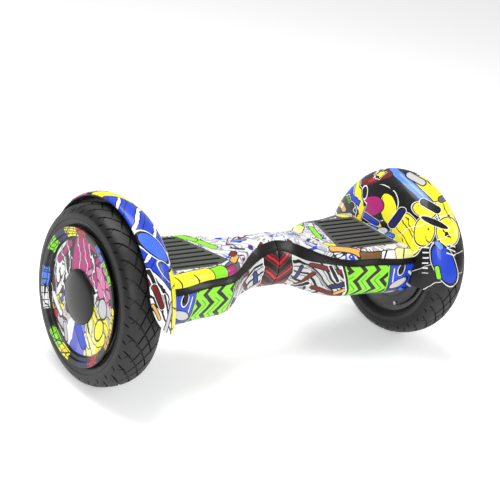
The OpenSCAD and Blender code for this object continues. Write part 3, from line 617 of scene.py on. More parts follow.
def disc_print():
    material, tree = begin("disc_print")
    _, y, z = places(tree, 1.8, 45.0)
    up, ahead = z - AXLE_Z, -y
    radius = (up * up + ahead * ahead).math("SQRT")
    turn = up.math("ARCTAN2", ahead) / (2 * math.pi)
    drift = noise(tree, 20.0, 2.0) - 0.5
    dish = steps(tree, (turn + 0.04 + drift * 0.12 + radius * 0.0011).math("FRACT"), DISH)
    ring = steps(tree, (turn + 0.36 + drift * 0.05).math("FRACT"), RING)
    art = Print(tree, dish, ahead, up)
    torn = noise(tree, 26.0, 3.0) * 60.0
    art.add(stripes(ahead * 0.8 - up + torn, 19.0, 4.0).both(20.0 - up).both(-ahead + 6.0), BLACK)
    art.blob((40, 38, 15, 22, 30), PINK, 1.6)
    art.bar((18, 66), (34, 34), 8, MAGENTA, 1.2)
    art.bar((-66, 28), (-42, 62), 9, MAGENTA, 1.6)
    art.add(stripes(radius + torn * 0.7, 15.0, 4.6).both(up - 18.0).both(ahead + 22.0), BLACK)
    art.add(stripes(radius * 0.8 - up * 0.6 + torn, 17.0, 3.4)
            .both(up - 12.0).both(ahead + 26.0), WINE)
    art.bar((-60, -20), (-46, 6), 8, WHITE, 2.2)
    art.bar((-44, -24), (-38, -6), 5, BLUE, 1.4)
    art.bar((-68, -28), (-44, -44), 10, WHITE, 2.4)
    art.blob((-58, -52, 5, 6), RED, 2.0)
    art.bar((-30, -56), (-22, -74), 7, SILVER, 1.6)
    art.bar((6, -44), (22, -60), 16, BLUE, 1.8)
    art.bar((26, -46), (36, -58), 6, WHITE, 1.2)
    art.add(stripes(ahead + up * 0.5 + torn, 23.0, 2.2).both(-40.0 - up), WHITE, 1.4)
    art.add(stripes(ahead * 0.5 + up + torn, 21.0, 2.4).both(26.0 - ahead).both(up - 60.0), BLACK)
    art.blob((58, 8, 9, 13, 12), SILVER, 1.8)
    art.blob((56, -24, 8, 15, -14), YELLOW, 1.8)
    art.colour = mix(radius > 81.0, art.colour, ring)
    art.add(stripes(radius + up * 0.1, 4.2, 1.2).both(84.0 - radius), BLACK)
    art.add(stripes(turn * 520.0, 9.4, 1.3).both(84.0 - radius), BLACK)
    art.add(stripes(turn * 520.0 + radius * 1.4, 26.0, 2.6).both(82.0 - radius), BLACK)
    art.add(abs(radius - 82.0) - 1.1, BLACK)
    art.add(96.0 - radius, BLACK)
    return art.close(material)


skirt, disc_art = skirt_print(), disc_print()
deck = {side: deck_print(side) for side in SIDES}
hood = {"left": left_fender_print(), "right": right_fender_print()}
print("prints:", [m.name for m in (skirt, disc_art, *deck.values(), *hood.values())])

# %% [markdown]
# ## Mesh helpers
# A loft joins a row of closed outlines, as a boat's skin joins its ribs. A lathe turns one outline
# about the axle. Both give plain lists of points and faces. `settle` ends every piece: it applies
# the modifiers, merges the seam, turns faces outward and keeps sharp only the true corners.

# %% Lofts, lathes and finishing


def piece(name, points, faces, *materials):
    """A mesh object from points in millimetres."""
    mesh = bpy.data.meshes.new(name)
    mesh.from_pydata([Vector(p) * MM for p in points], [], faces)
    for material in materials:
        mesh.materials.append(material)
    made = bpy.data.objects.new(name, mesh)
    bpy.context.scene.collection.objects.link(made)
    return made


def apply_modifiers(made):
    bpy.context.view_layer.update()
    seen = made.evaluated_get(bpy.context.evaluated_depsgraph_get())
    mesh = bpy.data.meshes.new_from_object(seen)
    made.modifiers.clear()
    made.data = mesh
    return made


def settle(made, corner=32.0, outward=True):
    """Applies modifiers, merges doubles, turns faces outward and smooths all but corners."""
    apply_modifiers(made)
    shape = bmesh.new()
    shape.from_mesh(made.data)
    bmesh.ops.remove_doubles(shape, verts=shape.verts, dist=2e-6)
    bmesh.ops.dissolve_degenerate(shape, edges=shape.edges, dist=1e-6)
    if outward:
        bmesh.ops.recalc_face_normals(shape, faces=shape.faces)
    for face in shape.faces:
        face.smooth = True
    for side in shape.edges:
        side.smooth = side.calc_face_angle(0.0) < math.radians(corner)
    shape.to_mesh(made.data)
    shape.free()
    return made


def rows_to_faces(rows, count, closed=False):
    """Quads between rows of `count` points each, every row a closed loop."""
    faces = []
    for i in range(rows if closed else rows - 1):
        for j in range(count):
            k, n = (j + 1) % count, (i + 1) % rows
            faces.append((i * count + j, i * count + k, n * count + k, n * count + j))
    return faces


def loft(name, rings, *materials, thin=True):
    """Skin through closed outlines. A thin outline's ends close between its two halves."""
    count, last = len(rings[0]), (len(rings) - 1) * len(rings[0])
    faces = rows_to_faces(len(rings), count)
    if thin:
        for j in range(count // 2 - 1):
            cap = (count - 1 - j, count - 2 - j, j + 1, j)
            faces += [cap, tuple(last + k for k in reversed(cap))]
    else:
        faces += [tuple(range(count)), tuple(last + k for k in reversed(range(count)))]
    return piece(name, [p for ring in rings for p in ring], faces, *materials)


def lathe(name, outline, centre_x, *materials, steps_round=144):
    """Turns a closed outline of (radius, x) about the axle's line."""
    points = []
    for i in range(steps_round):
        t = 2 * math.pi * i / steps_round
        points += [(centre_x + x, r * math.cos(t), AXLE_Z + r * math.sin(t)) for r, x in outline]
    return piece(name, points, rows_to_faces(steps_round, len(outline), True), *materials)


def soften(outline, radius, closed=True):
    """Rounds an outline's corners with short arcs."""
    done = []
    for i, here in enumerate(outline):
        if not closed and i in (0, len(outline) - 1):
            done.append(here)
            continue
        here, back, on = (Vector(outline[k % len(outline)]) for k in (i, i - 1, i + 1))
        a, b = back - here, on - here
        bend = math.pi - a.angle(b)
        if bend < 0.3:
            done.append(tuple(here))
            continue
        cut = min(radius * math.tan(bend / 2), a.length * 0.42, b.length * 0.42)
        start, end = here + a.normalized() * cut, here + b.normalized() * cut
        for t in (0.0, 0.33, 0.67, 1.0):
            done.append(tuple(start.lerp(here, t).lerp(here.lerp(end, t), t)))
    return done


def curve_through(points, parts):
    """A smooth line through points, each span cut into parts."""
    line = []
    for i in range(len(points) - 1):
        p0, p1, p2, p3 = (Vector(points[min(max(k, 0), len(points) - 1)])
                          for k in (i - 1, i, i + 1, i + 2))
        for s in range(parts):
            t = s / parts
            line.append(tuple(0.5 * (2 * p1 + (p2 - p0) * t
                                     + (2 * p0 - 5 * p1 + 4 * p2 - p3) * t * t
                                     + (3 * p1 - p0 - 3 * p2 + p3) * t ** 3)))
    return line + [tuple(points[-1])]


def prism(name, outline, low, high, axis="z"):
    """A straight cutter or plate. Axis z: outline in x and y. Axis x: outline in y and z."""
    rings = [[(p[0], p[1], h) if axis == "z" else (h, p[0], p[1]) for p in outline]
             for h in (low, high)]
    return loft(name, rings, thin=False)


def circle(cx, cy, radius, count=24):
    return [(cx + radius * math.cos(2 * math.pi * i / count),
             cy + radius * math.sin(2 * math.pi * i / count)) for i in range(count)]


def carve(made, *cutters):
    """Cuts shapes away from a piece, and removes the cutters."""
    for cutter in cutters:
        settle(cutter)
        cut = made.modifiers.new("cut", "BOOLEAN")
        cut.operation, cut.solver, cut.object = "DIFFERENCE", "EXACT", cutter
        apply_modifiers(made)
        bpy.data.objects.remove(cutter)
    return made


def join(made, *others):
    """Adds other pieces' solids to a piece."""
    shape = bmesh.new()
    shape.from_mesh(made.data)
    for other in others:
        settle(other)
        shape.from_mesh(other.data)
        bpy.data.objects.remove(other)
    shape.to_mesh(made.data)
    shape.free()
    return made


def bevel(made, width, angle=40.0, segments=2):
    edges = made.modifiers.new("bevel", "BEVEL")
    edges.width, edges.segments = width * MM, segments
    edges.limit_method, edges.angle_limit = "ANGLE", math.radians(angle)
    edges.use_clamp_overlap, edges.harden_normals = True, False
    return made


def place(made, body, slot, *nodes):
    """Hands a finished piece to the frame."""
    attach(made, body)
    if nodes:
        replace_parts(made, *nodes)
    return made


# %% [markdown]
# ## The body's outline
# The body is narrow at the waist and wide at the wheels. Each measure of its cross-section, such
# as the height of the crown or the width at the sill, eases from one value to another along the
# board. The same formulas shaped the working model, so a finer loft of them stays within it.

# %% Cross-section of the body


def ease(a, b, u):
    """Rises smoothly from 0 at a to 1 at b."""
    t = min(max((u - a) / (b - a), 0.0), 1.0)
    return t * t * (3 - 2 * t)


def rim_y(u):
    return 15 + 42 * ease(24, 124, u) + 18 * min(u, 205) / 205 + 8 * ease(150, 205, u)


def rim_z(u):
    return DECK_Z - 13.5 + (PIVOT_Z + 51.5 - DECK_Z) * (1 - ease(0, 100, u))


def sill_y(u):
    return 26 + 40 * ease(30, 125, u) + 16 * min(u, 205) / 205 + 6 * ease(150, 205, u)


def sill_z(u):
    return DECK_Z - 22 + (PIVOT_Z + 48 - DECK_Z) * (1 - ease(0, 62, u))


def over(u, inward):
    """From the rim up to the crown."""
    side = rim_y(u) - 10 - 8 * ease(24, 124, u)
    top = DECK_Z + (PIVOT_Z + 40 - DECK_Z) * (1 - ease(15, 85, u))
    low = rim_z(u) + 0.2
    return [(side + (rim_y(u) - inward - side) * math.cos(t),
             low + (top - inward - low) * math.sin(t))
            for t in (math.radians(9 * i) for i in range(11))]


def under(u, inward):
    """From the sill down to the keel."""
    wide = 36 * (1 - ease(20, 100, u)) + sill_y(u) * ease(20, 100, u)
    mid = PIVOT_Z + (DECK_Z - 29.5 - PIVOT_Z) * ease(0, 62, u)
    keel = BELLY_Z + (PIVOT_Z - 39 - BELLY_Z) * (1 - ease(20, 95, u))
    power = 2 / (2.1 + 1.6 * ease(20, 110, u))
    wall = [(sill_y(u) - inward, sill_z(u) - 0.2),
            (wide - inward + (sill_y(u) - wide) * 0.4, mid + (sill_z(u) - mid - 0.2) * 0.7)]
    for i in range(16):
        t = math.radians(6 * i)
        wall.append(((wide - inward) * max(math.cos(t), 0) ** power,
                     mid - (mid - keel - inward) * math.sin(t) ** power))
    return wall


def across(half, keep_middle=True):
    """Both sides of a half outline, from the front to the rear."""
    rear = half[::-1] if keep_middle else half[-2::-1]
    return [(-y, z) for y, z in half] + [(y, z) for y, z in rear]


stations = [SEAM + (205 - SEAM) * i / 46 for i in range(47)] + [BODY_END]
print(len(stations), "stations, waist to", BODY_END)

# %% [markdown]
# ## Top and bottom covers
# Each half has two moulded covers that meet behind the bumper band. A lofted sheet with a real
# wall, an end plate, an opening for the mat, and screw holes in the belly make them. The cuts are
# boolean, because an exact cut keeps the curved skin as it was.

# %% Covers


def mat_outline(grow):
    return [(102 - grow, -41 - grow * 0.7), (120, -50 - grow), (144, -55 - grow),
            (217 + grow, -55 - grow), (217 + grow, 55 + grow), (168, 55 + grow),
            (131 - grow, 50 + grow)]


def sided(points, sign):
    return [(sign * p[0], *p[1:]) for p in points]


def skin(name, half, sign, keep_middle, material):
    """A lofted cover with its wall."""
    rings = []
    for u in stations:
        outer, inner = (across(half(u, t), keep_middle) for t in (0.0, WALL))
        rings.append([(sign * u, y, z) for y, z in outer + inner[::-1]])
    return loft(name, rings, material)


for side, sign in SIDES.items():
    lid = skin(side + "_deck_shell", over, sign, True, deck[side])
    ends = sign * (BODY_END - WALL), sign * (BODY_END - 0.1)
    plate = prism("plate", across(over(BODY_END, 0.4)), *ends, "x")
    plate.data.materials.append(deck[side])
    join(lid, plate)
    carve(lid, prism("opening", sided(mat_outline(0.6), sign), DECK_Z - 12, DECK_Z + 8))
    settle(bevel(lid, 0.45, 50.0))
    place(lid, side + "_half", "printed_shell", side + "_top_cover")

    tub = skin(side + "_skirt_shell", under, sign, False, skirt)
    behind_band, top = rim_y(BODY_END) - BAND - 0.4, rim_z(BODY_END) - 0.3
    rim = [(behind_band, sill_z(BODY_END)), (behind_band, top)]
    wall = across(under(BODY_END, 0.4), False)
    notch = [(-16, top)] + [(16 * math.cos(t), AXLE_Z + 16 * math.sin(t)) for t in
                            (math.pi + math.pi * i / 16 for i in range(17))] + [(16, top)]
    outline = wall + rim + notch[::-1] + [(-y, z) for y, z in rim[::-1]]
    plate = prism("plate", outline, *ends, "x")
    plate.data.materials.append(skirt)
    join(tub, plate)
    holes = [prism("hole", circle(sign * x, k * y, 4.0), BELLY_Z - 1, BELLY_Z + 3.2)
             for x, y in BELLY_SCREWS for k in (-1, 1)]
    if side == "left":
        for x, radius in PORTS.values():
            holes.append(loft("port", [[(px, y, pz) for px, pz in circle(x, AXLE_Z + 9, radius, 40)]
                                       for y in (60, 110)], thin=False))
    carve(tub, *holes)
    for x, y in BELLY_SCREWS:
        for k in (-1, 1):
            post = prism("post", circle(sign * x, k * y, 5.5), BELLY_Z + 3.05, BELLY_Z + 11)
            post.data.materials.append(skirt)
            join(tub, post)
    settle(bevel(tub, 0.4, 55.0))
    place(tub, side + "_half", "printed_shell", side + "_bottom_cover")
    print(side, "covers:", len(lid.data.polygons), len(tub.data.polygons), "faces")

# %% [markdown]
# ## Bumper bands
# A satin black band closes the joint of the covers, front and rear, with a small tongue over the
# skirt. It is one more loft, whose outline has a crease along the middle that catches the light.

# %% Bumpers

for side, sign in SIDES.items():
    for face, k in (("front", -1), ("rear", 1)):
        rings = []
        for u in stations:
            u = min(u, BODY_END - 0.4)
            ry, rz, sy, sz = rim_y(u), rim_z(u), sill_y(u), sill_z(u)
            b = 0.55 if u < 196 else 0.0
            outline = soften([(ry, rz), ((ry + sy) / 2 + b, (rz + sz) / 2 + b * 0.7), (sy, sz),
                              (sy - BAND, sz), ((ry + sy) / 2 - BAND, (rz + sz) / 2),
                              (ry - BAND, rz)], 0.7)
            if u == stations[0]:
                count = len(outline)
            while len(outline) < count:
                outline.insert(4, outline[4])
            rings.append([(sign * u, k * y, z) for y, z in outline[:count]])
        band = loft(f"{side}_band_{face}", rings, MADE["black_trim"], thin=False)
        y, z = sill_y(202) + 0.2, sill_z(202)
        tongue = [(-3, z + 0.2), (-3, z - 9)] + [
            (-3 * math.cos(t), z - 9 - 3 * math.sin(t)) for t in
            (math.pi * i / 10 for i in range(1, 10))] + [(3, z - 9), (3, z + 0.2)]
        tab = loft("tongue", [[(sign * 202 + px, k * py, pz) for px, pz in tongue]
                              for py in (y - 0.1, y + 1.5)], MADE["black_trim"], thin=False)
        bevel(tab, 0.4)
        join(band, tab)
        settle(band, 24.0)
        place(band, side + "_half", "black_trim", f"{side}_bumper_{face}")
print("four bands")

# %% [markdown]
# ## Fenders
# A fender is a quarter of a shallow bowl round the wheel. The bowl is turned from a smooth wall
# outline, then cut flat below the axle, rounded off at its front and rear feet, and cut to the
# body's section where it sits on the deck. The outside is printed and the inside stays black.

# %% Fender shells


def hood_line(inward):
    """The fender's wall as (radius, x), from its root in the body to its lip."""
    i, root, out = inward, BODY_END, FENDER_OUT
    return [(AXLE_Z - 81 - i * 0.2, root - 18 + i), (AXLE_Z - 50 - i * 0.4, root - 14 + i),
            (AXLE_Z - 22 - i * 0.6, root - 6 + i * 0.8),
            (AXLE_Z - 2 - i * 0.7, root + 4.5 + i * 0.7),
            (out - 7 - i * 0.85, root + 17 + i * 0.5), (out - 1.6 - i, root + 29 + i * 0.2),
            (out - i, root + 38), (out - 1.6 - i, LIP_X - 3), (out - 4.4 - i * 0.6, LIP_X)]


for side, sign in SIDES.items():
    outer, inner = (curve_through(hood_line(i), 4) for i in (0.0, WALL))
    outline = [(r - FACET_GAP, sign * x) for r, x in outer + inner[::-1]]
    bowl = lathe(side + "_fender_shell", outline, 0, hood[side], MADE["black_trim"],
                 steps_round=120)
    for polygon in bowl.data.polygons:
        spot = polygon.index % len(outline)
        polygon.material_index = 0 if spot < len(outer) - 1 or spot == len(outline) - 1 else 1
    foot = AXLE_Z - 6
    ground = [(100, -300), (400, -300), (400, 300), (100, 300)]
    below = prism("below", sided(ground, sign), -200, foot)
    arc = [(BODY_END - 8 + 60 * math.cos(t), AXLE_Z + 54 + 60 * math.sin(t)) for t in
           (-math.pi / 2 + math.pi / 2 * i / 20 for i in range(21))]
    corner = [(BODY_END - 8, foot - 20), (BODY_END + 120, foot - 20), (BODY_END + 120, AXLE_Z + 54)]
    trim = loft("trim", [[(sign * x, y, z) for x, z in [corner[0]] + arc + corner[:0:-1]]
                         for y in (-300, 300)], thin=False)
    deck_line = [p if p[1] > DECK_Z - 0.5 else (p[0] + math.copysign(0.3, p[0]), p[1])
                 for p in across(over(BODY_END, 0.0))]
    belly_line = [(p[0] + math.copysign(0.3, p[0]), p[1] - 0.3)
                  for p in across(under(BODY_END, 0.0), False)]
    seat = prism("seat", deck_line + belly_line[::-1],
                 sign * (BODY_END - 40), sign * (BODY_END + 0.3), "x")
    carve(bowl, below, trim, seat)
    for y in (-LUG_Y, LUG_Y):
        pad = [(219, y - 7), (235, y - 7), (235, y + 7), (219, y + 7)]
        lug = prism("lug", soften(sided(pad, sign), 2.0), DECK_Z + 0.1, DECK_Z + 3)
        lug.data.materials.append(MADE["black_trim"])
        join(bowl, lug)
    settle(bevel(bowl, 0.7, 55.0))
    place(bowl, side + "_half", "printed_shell", side + "_fender")
    print(side, "fender:", len(bowl.data.polygons), "faces")

# %% [markdown]
# ## A ring of copies, with Geometry Nodes
# Tread, bolts and ribs all repeat round the axle. One small node tree turns any single copy into
# the whole ring: a line of points gives the count, each copy is turned by its share of a circle,
# and the copies are made real and welded. A mirrored wheel uses the same tree.

# %% The ring tree


def ring_tree():
    """Copies the mesh round the X axis through the axle, welds it and gives it a finish."""
    tree = bpy.data.node_groups.new("ring of copies", "GeometryNodeTree")
    for name, kind in (("One copy", "NodeSocketGeometry"), ("Copies", "NodeSocketInt"),
                       ("Centre", "NodeSocketVector"), ("Finish", "NodeSocketMaterial")):
        tree.interface.new_socket(name, in_out="INPUT", socket_type=kind)
    tree.interface.new_socket("Ring", in_out="OUTPUT", socket_type="NodeSocketGeometry")
    given = tree.nodes.new("NodeGroupInput")
    copy, count, centre, finish_in = (Wire(tree, given.outputs[i]) for i in range(4))
    row = Wire.node(tree, "GeometryNodePoints", {}, {"Count": count})
    index = Wire.node(tree, "GeometryNodeInputIndex")
    turn = Wire.node(tree, "ShaderNodeCombineXYZ", {}, {"X": index * (2 * math.pi) / count})
    copies = Wire.node(tree, "GeometryNodeInstanceOnPoints", {},
                       {"Points": row, "Instance": copy, "Rotation": turn})
    real = Wire.node(tree, "GeometryNodeRealizeInstances", {}, {"Geometry": copies})
    welded = Wire.node(tree, "GeometryNodeMergeByDistance", {},
                       {"Geometry": real, "Distance": 0.00002})
    moved = Wire.node(tree, "GeometryNodeTransform", {},
                      {"Geometry": welded, "Translation": centre})
    done = Wire.node(tree, "GeometryNodeSetMaterial", {},
                     {"Geometry": moved, "Material": finish_in})
    tree.links.new(done.socket, tree.nodes.new("NodeGroupOutput").inputs[0])
    return tree


RING_TREE = ring_tree()


def ring_of(one, copies, centre_x, material):
    """Runs the ring tree on a single copy whose axle line is the X axis."""
    ring = one.modifiers.new("ring", "NODES")
    ring.node_group = RING_TREE
    values = {"Copies": copies, "Centre": Vector((centre_x, 0, AXLE_Z)) * MM, "Finish": material}
    for socket in RING_TREE.interface.items_tree:
        if socket.in_out == "INPUT" and socket.name in values:
            ring[socket.identifier] = values[socket.name]
    return apply_modifiers(one)


print("ring tree:", len(RING_TREE.nodes), "nodes")

# %% [markdown]
# ## Tyres
# A tyre's tread is a set of narrow cuts in a smooth round surface. Carving hundreds of cuts with
# booleans is slow, so one sector is made instead. It is drawn flat, as distance round the tyre and
# distance across it. A constrained triangulation keeps the edges of the cuts crisp, then the
# sector is wrapped on the carcass, its cuts pushed in, and the ring tree repeats it.

# %% Tyre section

SECTORS = 30
PITCH = 2 * math.pi * TYRE_R / SECTORS
outer_line = curve_through([(34, -29.5), (40.5, -25), (44.5, -18), (46.5, -9), (47, 0), (46.5, 9),
                            (44.5, 18), (40.5, 25), (34, 29.5)], 8)
side_line = curve_through([(34, 29.5), (26, 30.5), (17, 28.5), (9, 22), (3, 20.5)], 6)
inner_line = curve_through([(3, 15.5), (10, 17), (18, 23), (26, 25), (33, 23.5), (38, 19), (41, 0),
                            (38, -19), (33, -23.5), (26, -25), (18, -23), (10, -17), (3, -15.5)], 2)


def ridged(line):
    """Adds the thin raised lines that run round a sidewall."""
    made = []
    for i, (r, x) in enumerate(line):
        made.append((r, x))
        if i in (5, 11):
            step = (Vector(line[i + 1]) - Vector((r, x))).normalized()
            out = Vector((-step.y, step.x)) * 0.55
            for along, rise in ((0.5, 0.0), (0.8, 1.0), (1.5, 1.0), (1.8, 0.0)):
                spot = Vector((r, x)) + step * along + out * rise
                made.append(tuple(spot))
    return made


wall_line = ridged(side_line)
closing = wall_line[1:] + inner_line + [(r, -x) for r, x in wall_line[:0:-1]]
lengths = [0.0]
for p, q in zip(outer_line, outer_line[1:]):
    lengths.append(lengths[-1] + math.dist(p, q))
HALF = lengths[-1] / 2


def on_tyre(around, across_tread, depth=0.0):
    """A flat tread point wrapped on the carcass."""
    spot = min(max(across_tread + HALF, 0.0), lengths[-1] - 1e-6)
    i = max(k for k in range(len(lengths)) if lengths[k] <= spot and k < len(lengths) - 1)
    t = (spot - lengths[i]) / (lengths[i + 1] - lengths[i])
    p, q = Vector(outer_line[i]), Vector(outer_line[i + 1])
    here, step = p.lerp(q, t), (q - p).normalized()
    here += Vector((step.y, -step.x)) * depth
    return sector_point(around / TYRE_R, here.x, here.y)


def sector_point(angle, r, x):
    r += SEAT_R
    return (x, r * math.cos(angle), r * math.sin(angle))


print("tread is", round(lengths[-1], 1), "mm across, one sector", round(PITCH, 2), "mm round")

# %% Tread cuts


def cut_along(path, width):
    """A closed ribbon along a line, narrow at both ends."""
    left, right = [], []
    for i, here in enumerate(path):
        back, on = Vector(path[max(i - 1, 0)]), Vector(path[min(i + 1, len(path) - 1)])
        step = (on - back).normalized()
        half = width / 2 * (0.35 if i in (0, len(path) - 1) else 1.0)
        out = Vector((-step.y, step.x)) * half
        left.append(tuple(Vector(here) + out))
        right.append(tuple(Vector(here) - out))
    return right + left[::-1]


def tread_cuts():
    """Two families of long curves that cross, and short notches at the shoulders."""
    cuts = []
    for k in range(-3, 3):
        start = k * PITCH
        for sign in (-1, 1):
            shift = start + (PITCH / 2 if sign > 0 else 0.0)
            sweep = [(shift + 58 * t ** 1.5, sign * (-29 + 43 * t)) for t in
                     (i / 12 for i in range(13))]
            cuts.append(cut_along(sweep, 2.3))
            notch = [(shift + 16, sign * -27.0), (shift + 13, sign * -31.0),
                     (shift + 11, sign * -34.4)]
            cuts.append(cut_along(notch, 2.4))
            short = [(shift + 4, sign * -17.0), (shift + 8, sign * -22.0),
                     (shift + 10, sign * -25.5)]
            cuts.append(cut_along(short, 1.2))
    return cuts


def tread_sector():
    """One sector of the whole tyre, cuts and all."""
    rounds, rows = 8, 20
    around = [PITCH * i / rounds for i in range(rounds + 1)]
    edge_low = [(a, -HALF) for a in around]
    edge_high = [(a, HALF) for a in around[::-1]]
    rise = [(PITCH, -HALF + 2 * HALF * i / rows) for i in range(1, rows)]
    fall = [(0.0, HALF - 2 * HALF * i / rows) for i in range(1, rows)]
    frame_line = edge_low + rise + edge_high + fall
    flat, loops = list(frame_line), [list(range(len(frame_line)))]
    for cut in tread_cuts():
        loops.append(list(range(len(flat), len(flat) + len(cut))))
        flat += cut
    flat += [(a, -HALF + 2 * HALF * i / rows) for a in around[1:-1] for i in range(1, rows)]
    spots, _, triangles, _, _, owners = geometry.delaunay_2d_cdt(
        [Vector(p) for p in flat], [], loops, 1, 1e-4)
    points, faces, recess_shade, found, borders = [], [], [], {}, {}

    def point(i, low):
        if (i, low) not in found:
            found[i, low] = len(points)
            points.append(on_tyre(spots[i].x, spots[i].y, -2.3 if low else 0.0))
            # Cut bottoms are flagged here for the painted shade in the tyre's material.
            recess_shade.append(float(low))
        return found[i, low]

    for triangle, owner in zip(triangles, owners):
        if 0 not in owner:
            continue
        low = len(owner) > 1
        faces.append([point(i, low) for i in triangle])
        for i, j in zip(triangle, triangle[1:] + triangle[:1]):
            borders.setdefault((min(i, j), max(i, j)), set()).add(low)
    for (i, j), levels in borders.items():
        if len(levels) == 2:
            faces.append([point(i, False), point(j, False), point(j, True), point(i, True)])
    for k in range(rounds):
        low, high = around[k] / TYRE_R, around[k + 1] / TYRE_R
        line = [outer_line[-1]] + closing + [outer_line[0]]
        for p, q in zip(line, line[1:]):
            base = len(points)
            points += [sector_point(low, *p), sector_point(high, *p), sector_point(high, *q),
                       sector_point(low, *q)]
            faces.append([base, base + 1, base + 2, base + 3])
    return points, faces, recess_shade + [0.0] * (len(points) - len(recess_shade))


sector_points, sector_faces, sector_cut_shade = tread_sector()
print("one sector:", len(sector_faces), "faces")

# %% [markdown]
# ## Rubber that has rolled, with painted shade in its cuts
# Tyre rubber is slightly grey where it has touched the ground and duller on the tread than on the
# sidewall; its cuts carry painted shade that turns them near black. Each point of the sector notes
# whether it lies at the bottom of a cut, and the distance from the axle tells tread from sidewall.

# %% Tyre finish and tyres


def tyre_rubber():
    material, tree = begin("tyre_rubber")
    _, y, z = places(tree)
    up = z - AXLE_Z
    radius = (up * up + y * y).math("SQRT")
    worn = ((radius - (TYRE_R - 9.0)) / 9.0).math("MAXIMUM", 0.0).math("MINIMUM", 1.0)
    dust = noise(tree, 60.0, 6.0, 0.7)
    tint = mix(worn * (dust * 0.8 + 0.2), shade(17, 17, 18), shade(44, 44, 45))
    # Painted shade: the bottoms of the cuts are mixed to near black.
    cut = Wire.node(tree, "ShaderNodeAttribute", {"attribute_name": "cut"}, out=2)
    tint = mix(cut, tint, shade(3, 3, 3))
    rough = 0.42 + worn * 0.16 + (dust - 0.5) * 0.2
    return close(material, tint, rough, bump=noise(tree, 1400.0, 2.0), strength=0.12, shine=0.45)


MADE["tyre"] = tyre_rubber()
for side, sign in SIDES.items():
    tyre = piece(side + "_tread_tyre", sided(sector_points, sign), sector_faces)
    # The cut attribute carries the painted shade mask of the cut bottoms.
    tyre.data.attributes.new("cut", "FLOAT", "POINT").data.foreach_set("value", sector_cut_shade)
    ring_of(tyre, SECTORS, sign * WHEEL_X, MADE["tyre"])
    settle(tyre, 40.0)
    place(tyre, side + "_wheel", "tyre", side + "_tyre")
    print(side, "tyre:", len(tyre.data.polygons), "faces")

# %% [markdown]
# ## Wheel discs, caps and motor covers
# These parts are turned on a lathe in life, so they are turned here too: an outline with rounded
# corners, spun about the axle. The motor cover gets cooling ribs from the ring tree.

# %% Turned wheel parts

for side, sign in SIDES.items():
    cx = sign * WHEEL_X
    dish = soften([(36, 29.2), (48, 29), (70, 28), (82, 27.6), (83, 31.2), (88, 31.6), (89, 35),
                   (95.7, 35.5), (96.7, 34.6), (96.7, 32.6), (91, 32.4), (90.4, 29), (85.6, 28.6),
                   (84.8, 25), (66, 25.4), (66, 20), (63.4, 20), (63.4, 25.6), (36, 26.6)], 0.9)
    disc = lathe(side + "_printed_disc", [(r, sign * x) for r, x in dish], cx, disc_art)
    settle(disc, 30.0)
    place(disc, side + "_wheel", "printed_disc", side + "_wheel_disc")

    dome = [(38.3 * math.sin(t), 29.4 + 8.1 * math.cos(t)) for t in
            (math.pi / 2 * (1 - i / 18) for i in range(19))]
    hollow = [(33.1 * math.sin(t), 29.2 + 5.8 * math.cos(t)) for t in
              (math.pi / 2 * i / 12 for i in range(13))]
    shell = [(max(r, 0.0), x) for r, x in dome + hollow]
    shell += [(33.1, 20.4), (35.3, 20.4), (35.3, 29.4)]
    cap = lathe(side + "_domed_cap", [(r, sign * x) for r, x in shell], cx, MADE["gloss_black"])
    settle(cap, 50.0)
    place(cap, side + "_wheel", "gloss_black", side + "_hub_cap")

    rim = soften([(11, -33), (22.5, -33), (24.5, -26.5), (44, -26.5), (46, -28.5), (52, -28.5),
                  (54, -26.5), (64, -26.5), (66, -25), (79.5, -25), (79.5, -21), (67, -21),
                  (65, -22.5), (23.5, -22.5), (23.5, -21), (17.5, -21), (17.5, -31.2),
                  (11, -31.2)], 0.8)
    cover = lathe(side + "_motor_lid", [(r, sign * x) for r, x in rim], cx, MADE["hub_black"])
    rib = soften([(26.5, -2.0), (42, -1.0), (42, 1.0), (26.5, 2.0)], 0.5)
    one = loft("rib", [[(sign * x, r, w) for r, w in rib] for x in (-28.2, -26.2)],
               MADE["hub_black"], thin=False)
    ring_of(bevel(one, 0.3), 18, cx, MADE["hub_black"])
    join(cover, one)
    settle(cover, 30.0)
    place(cover, side + "_wheel", "hub_black", side + "_motor_cover")
print("discs, caps and lids")

# %% [markdown]
# ## Small moulded parts from the working model
# Mats, the power button and the charge socket already have the right shape, but a moulded edge is
# never perfectly sharp. A copy of each mesh is welded, its flat triangles are joined into whole
# faces, and a narrow bevel is run along its edges.

# %% Bevelled copies


def bevelled_copy(node, name, width, material, slot, corner=32.0):
    source = frame["nodes"][node].data
    shape = bmesh.new()
    shape.from_mesh(source)
    bmesh.ops.remove_doubles(shape, verts=shape.verts, dist=5e-6)
    bmesh.ops.dissolve_limit(shape, angle_limit=math.radians(0.6),
                             verts=shape.verts, edges=shape.edges)
    mesh = bpy.data.meshes.new(name)
    shape.to_mesh(mesh)
    shape.free()
    mesh.materials.clear()
    mesh.materials.append(material)
    made = bpy.data.objects.new(name, mesh)
    bpy.context.scene.collection.objects.link(made)
    settle(bevel(made, width, 38.0), corner, outward=False)
    place(made, frame["nodes"][node]["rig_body"], slot, node)
    return made


def mat_rubber():
    """Grey rubber, dusty on the ribs, with painted shade that darkens the grooves to near black."""
    material, tree = begin("mat_rubber")
    z = places(tree)[2]
    # Painted shade: below the rib tops the grooves blend to near black.
    recess_shade = ((DECK_Z - 0.25 - z) / 1.6).math("MAXIMUM", 0.0).math("MINIMUM", 1.0)
    dust = noise(tree, 90.0, 6.0, 0.7)
    sage = noise(tree, 9.0, 2.0)
    top = mix(sage * 2.4 - 0.8, shade(84, 84, 85), shade(70, 82, 56))
    # The painted shade mask turns the groove colour near black.
    tint = mix(recess_shade, mix(dust * 0.5, top, shade(52, 54, 50)), shade(6, 6, 6))
    return close(material, tint, 0.55 + (dust - 0.5) * 0.3,
                 bump=noise(tree, 900.0, 3.0), strength=0.25)


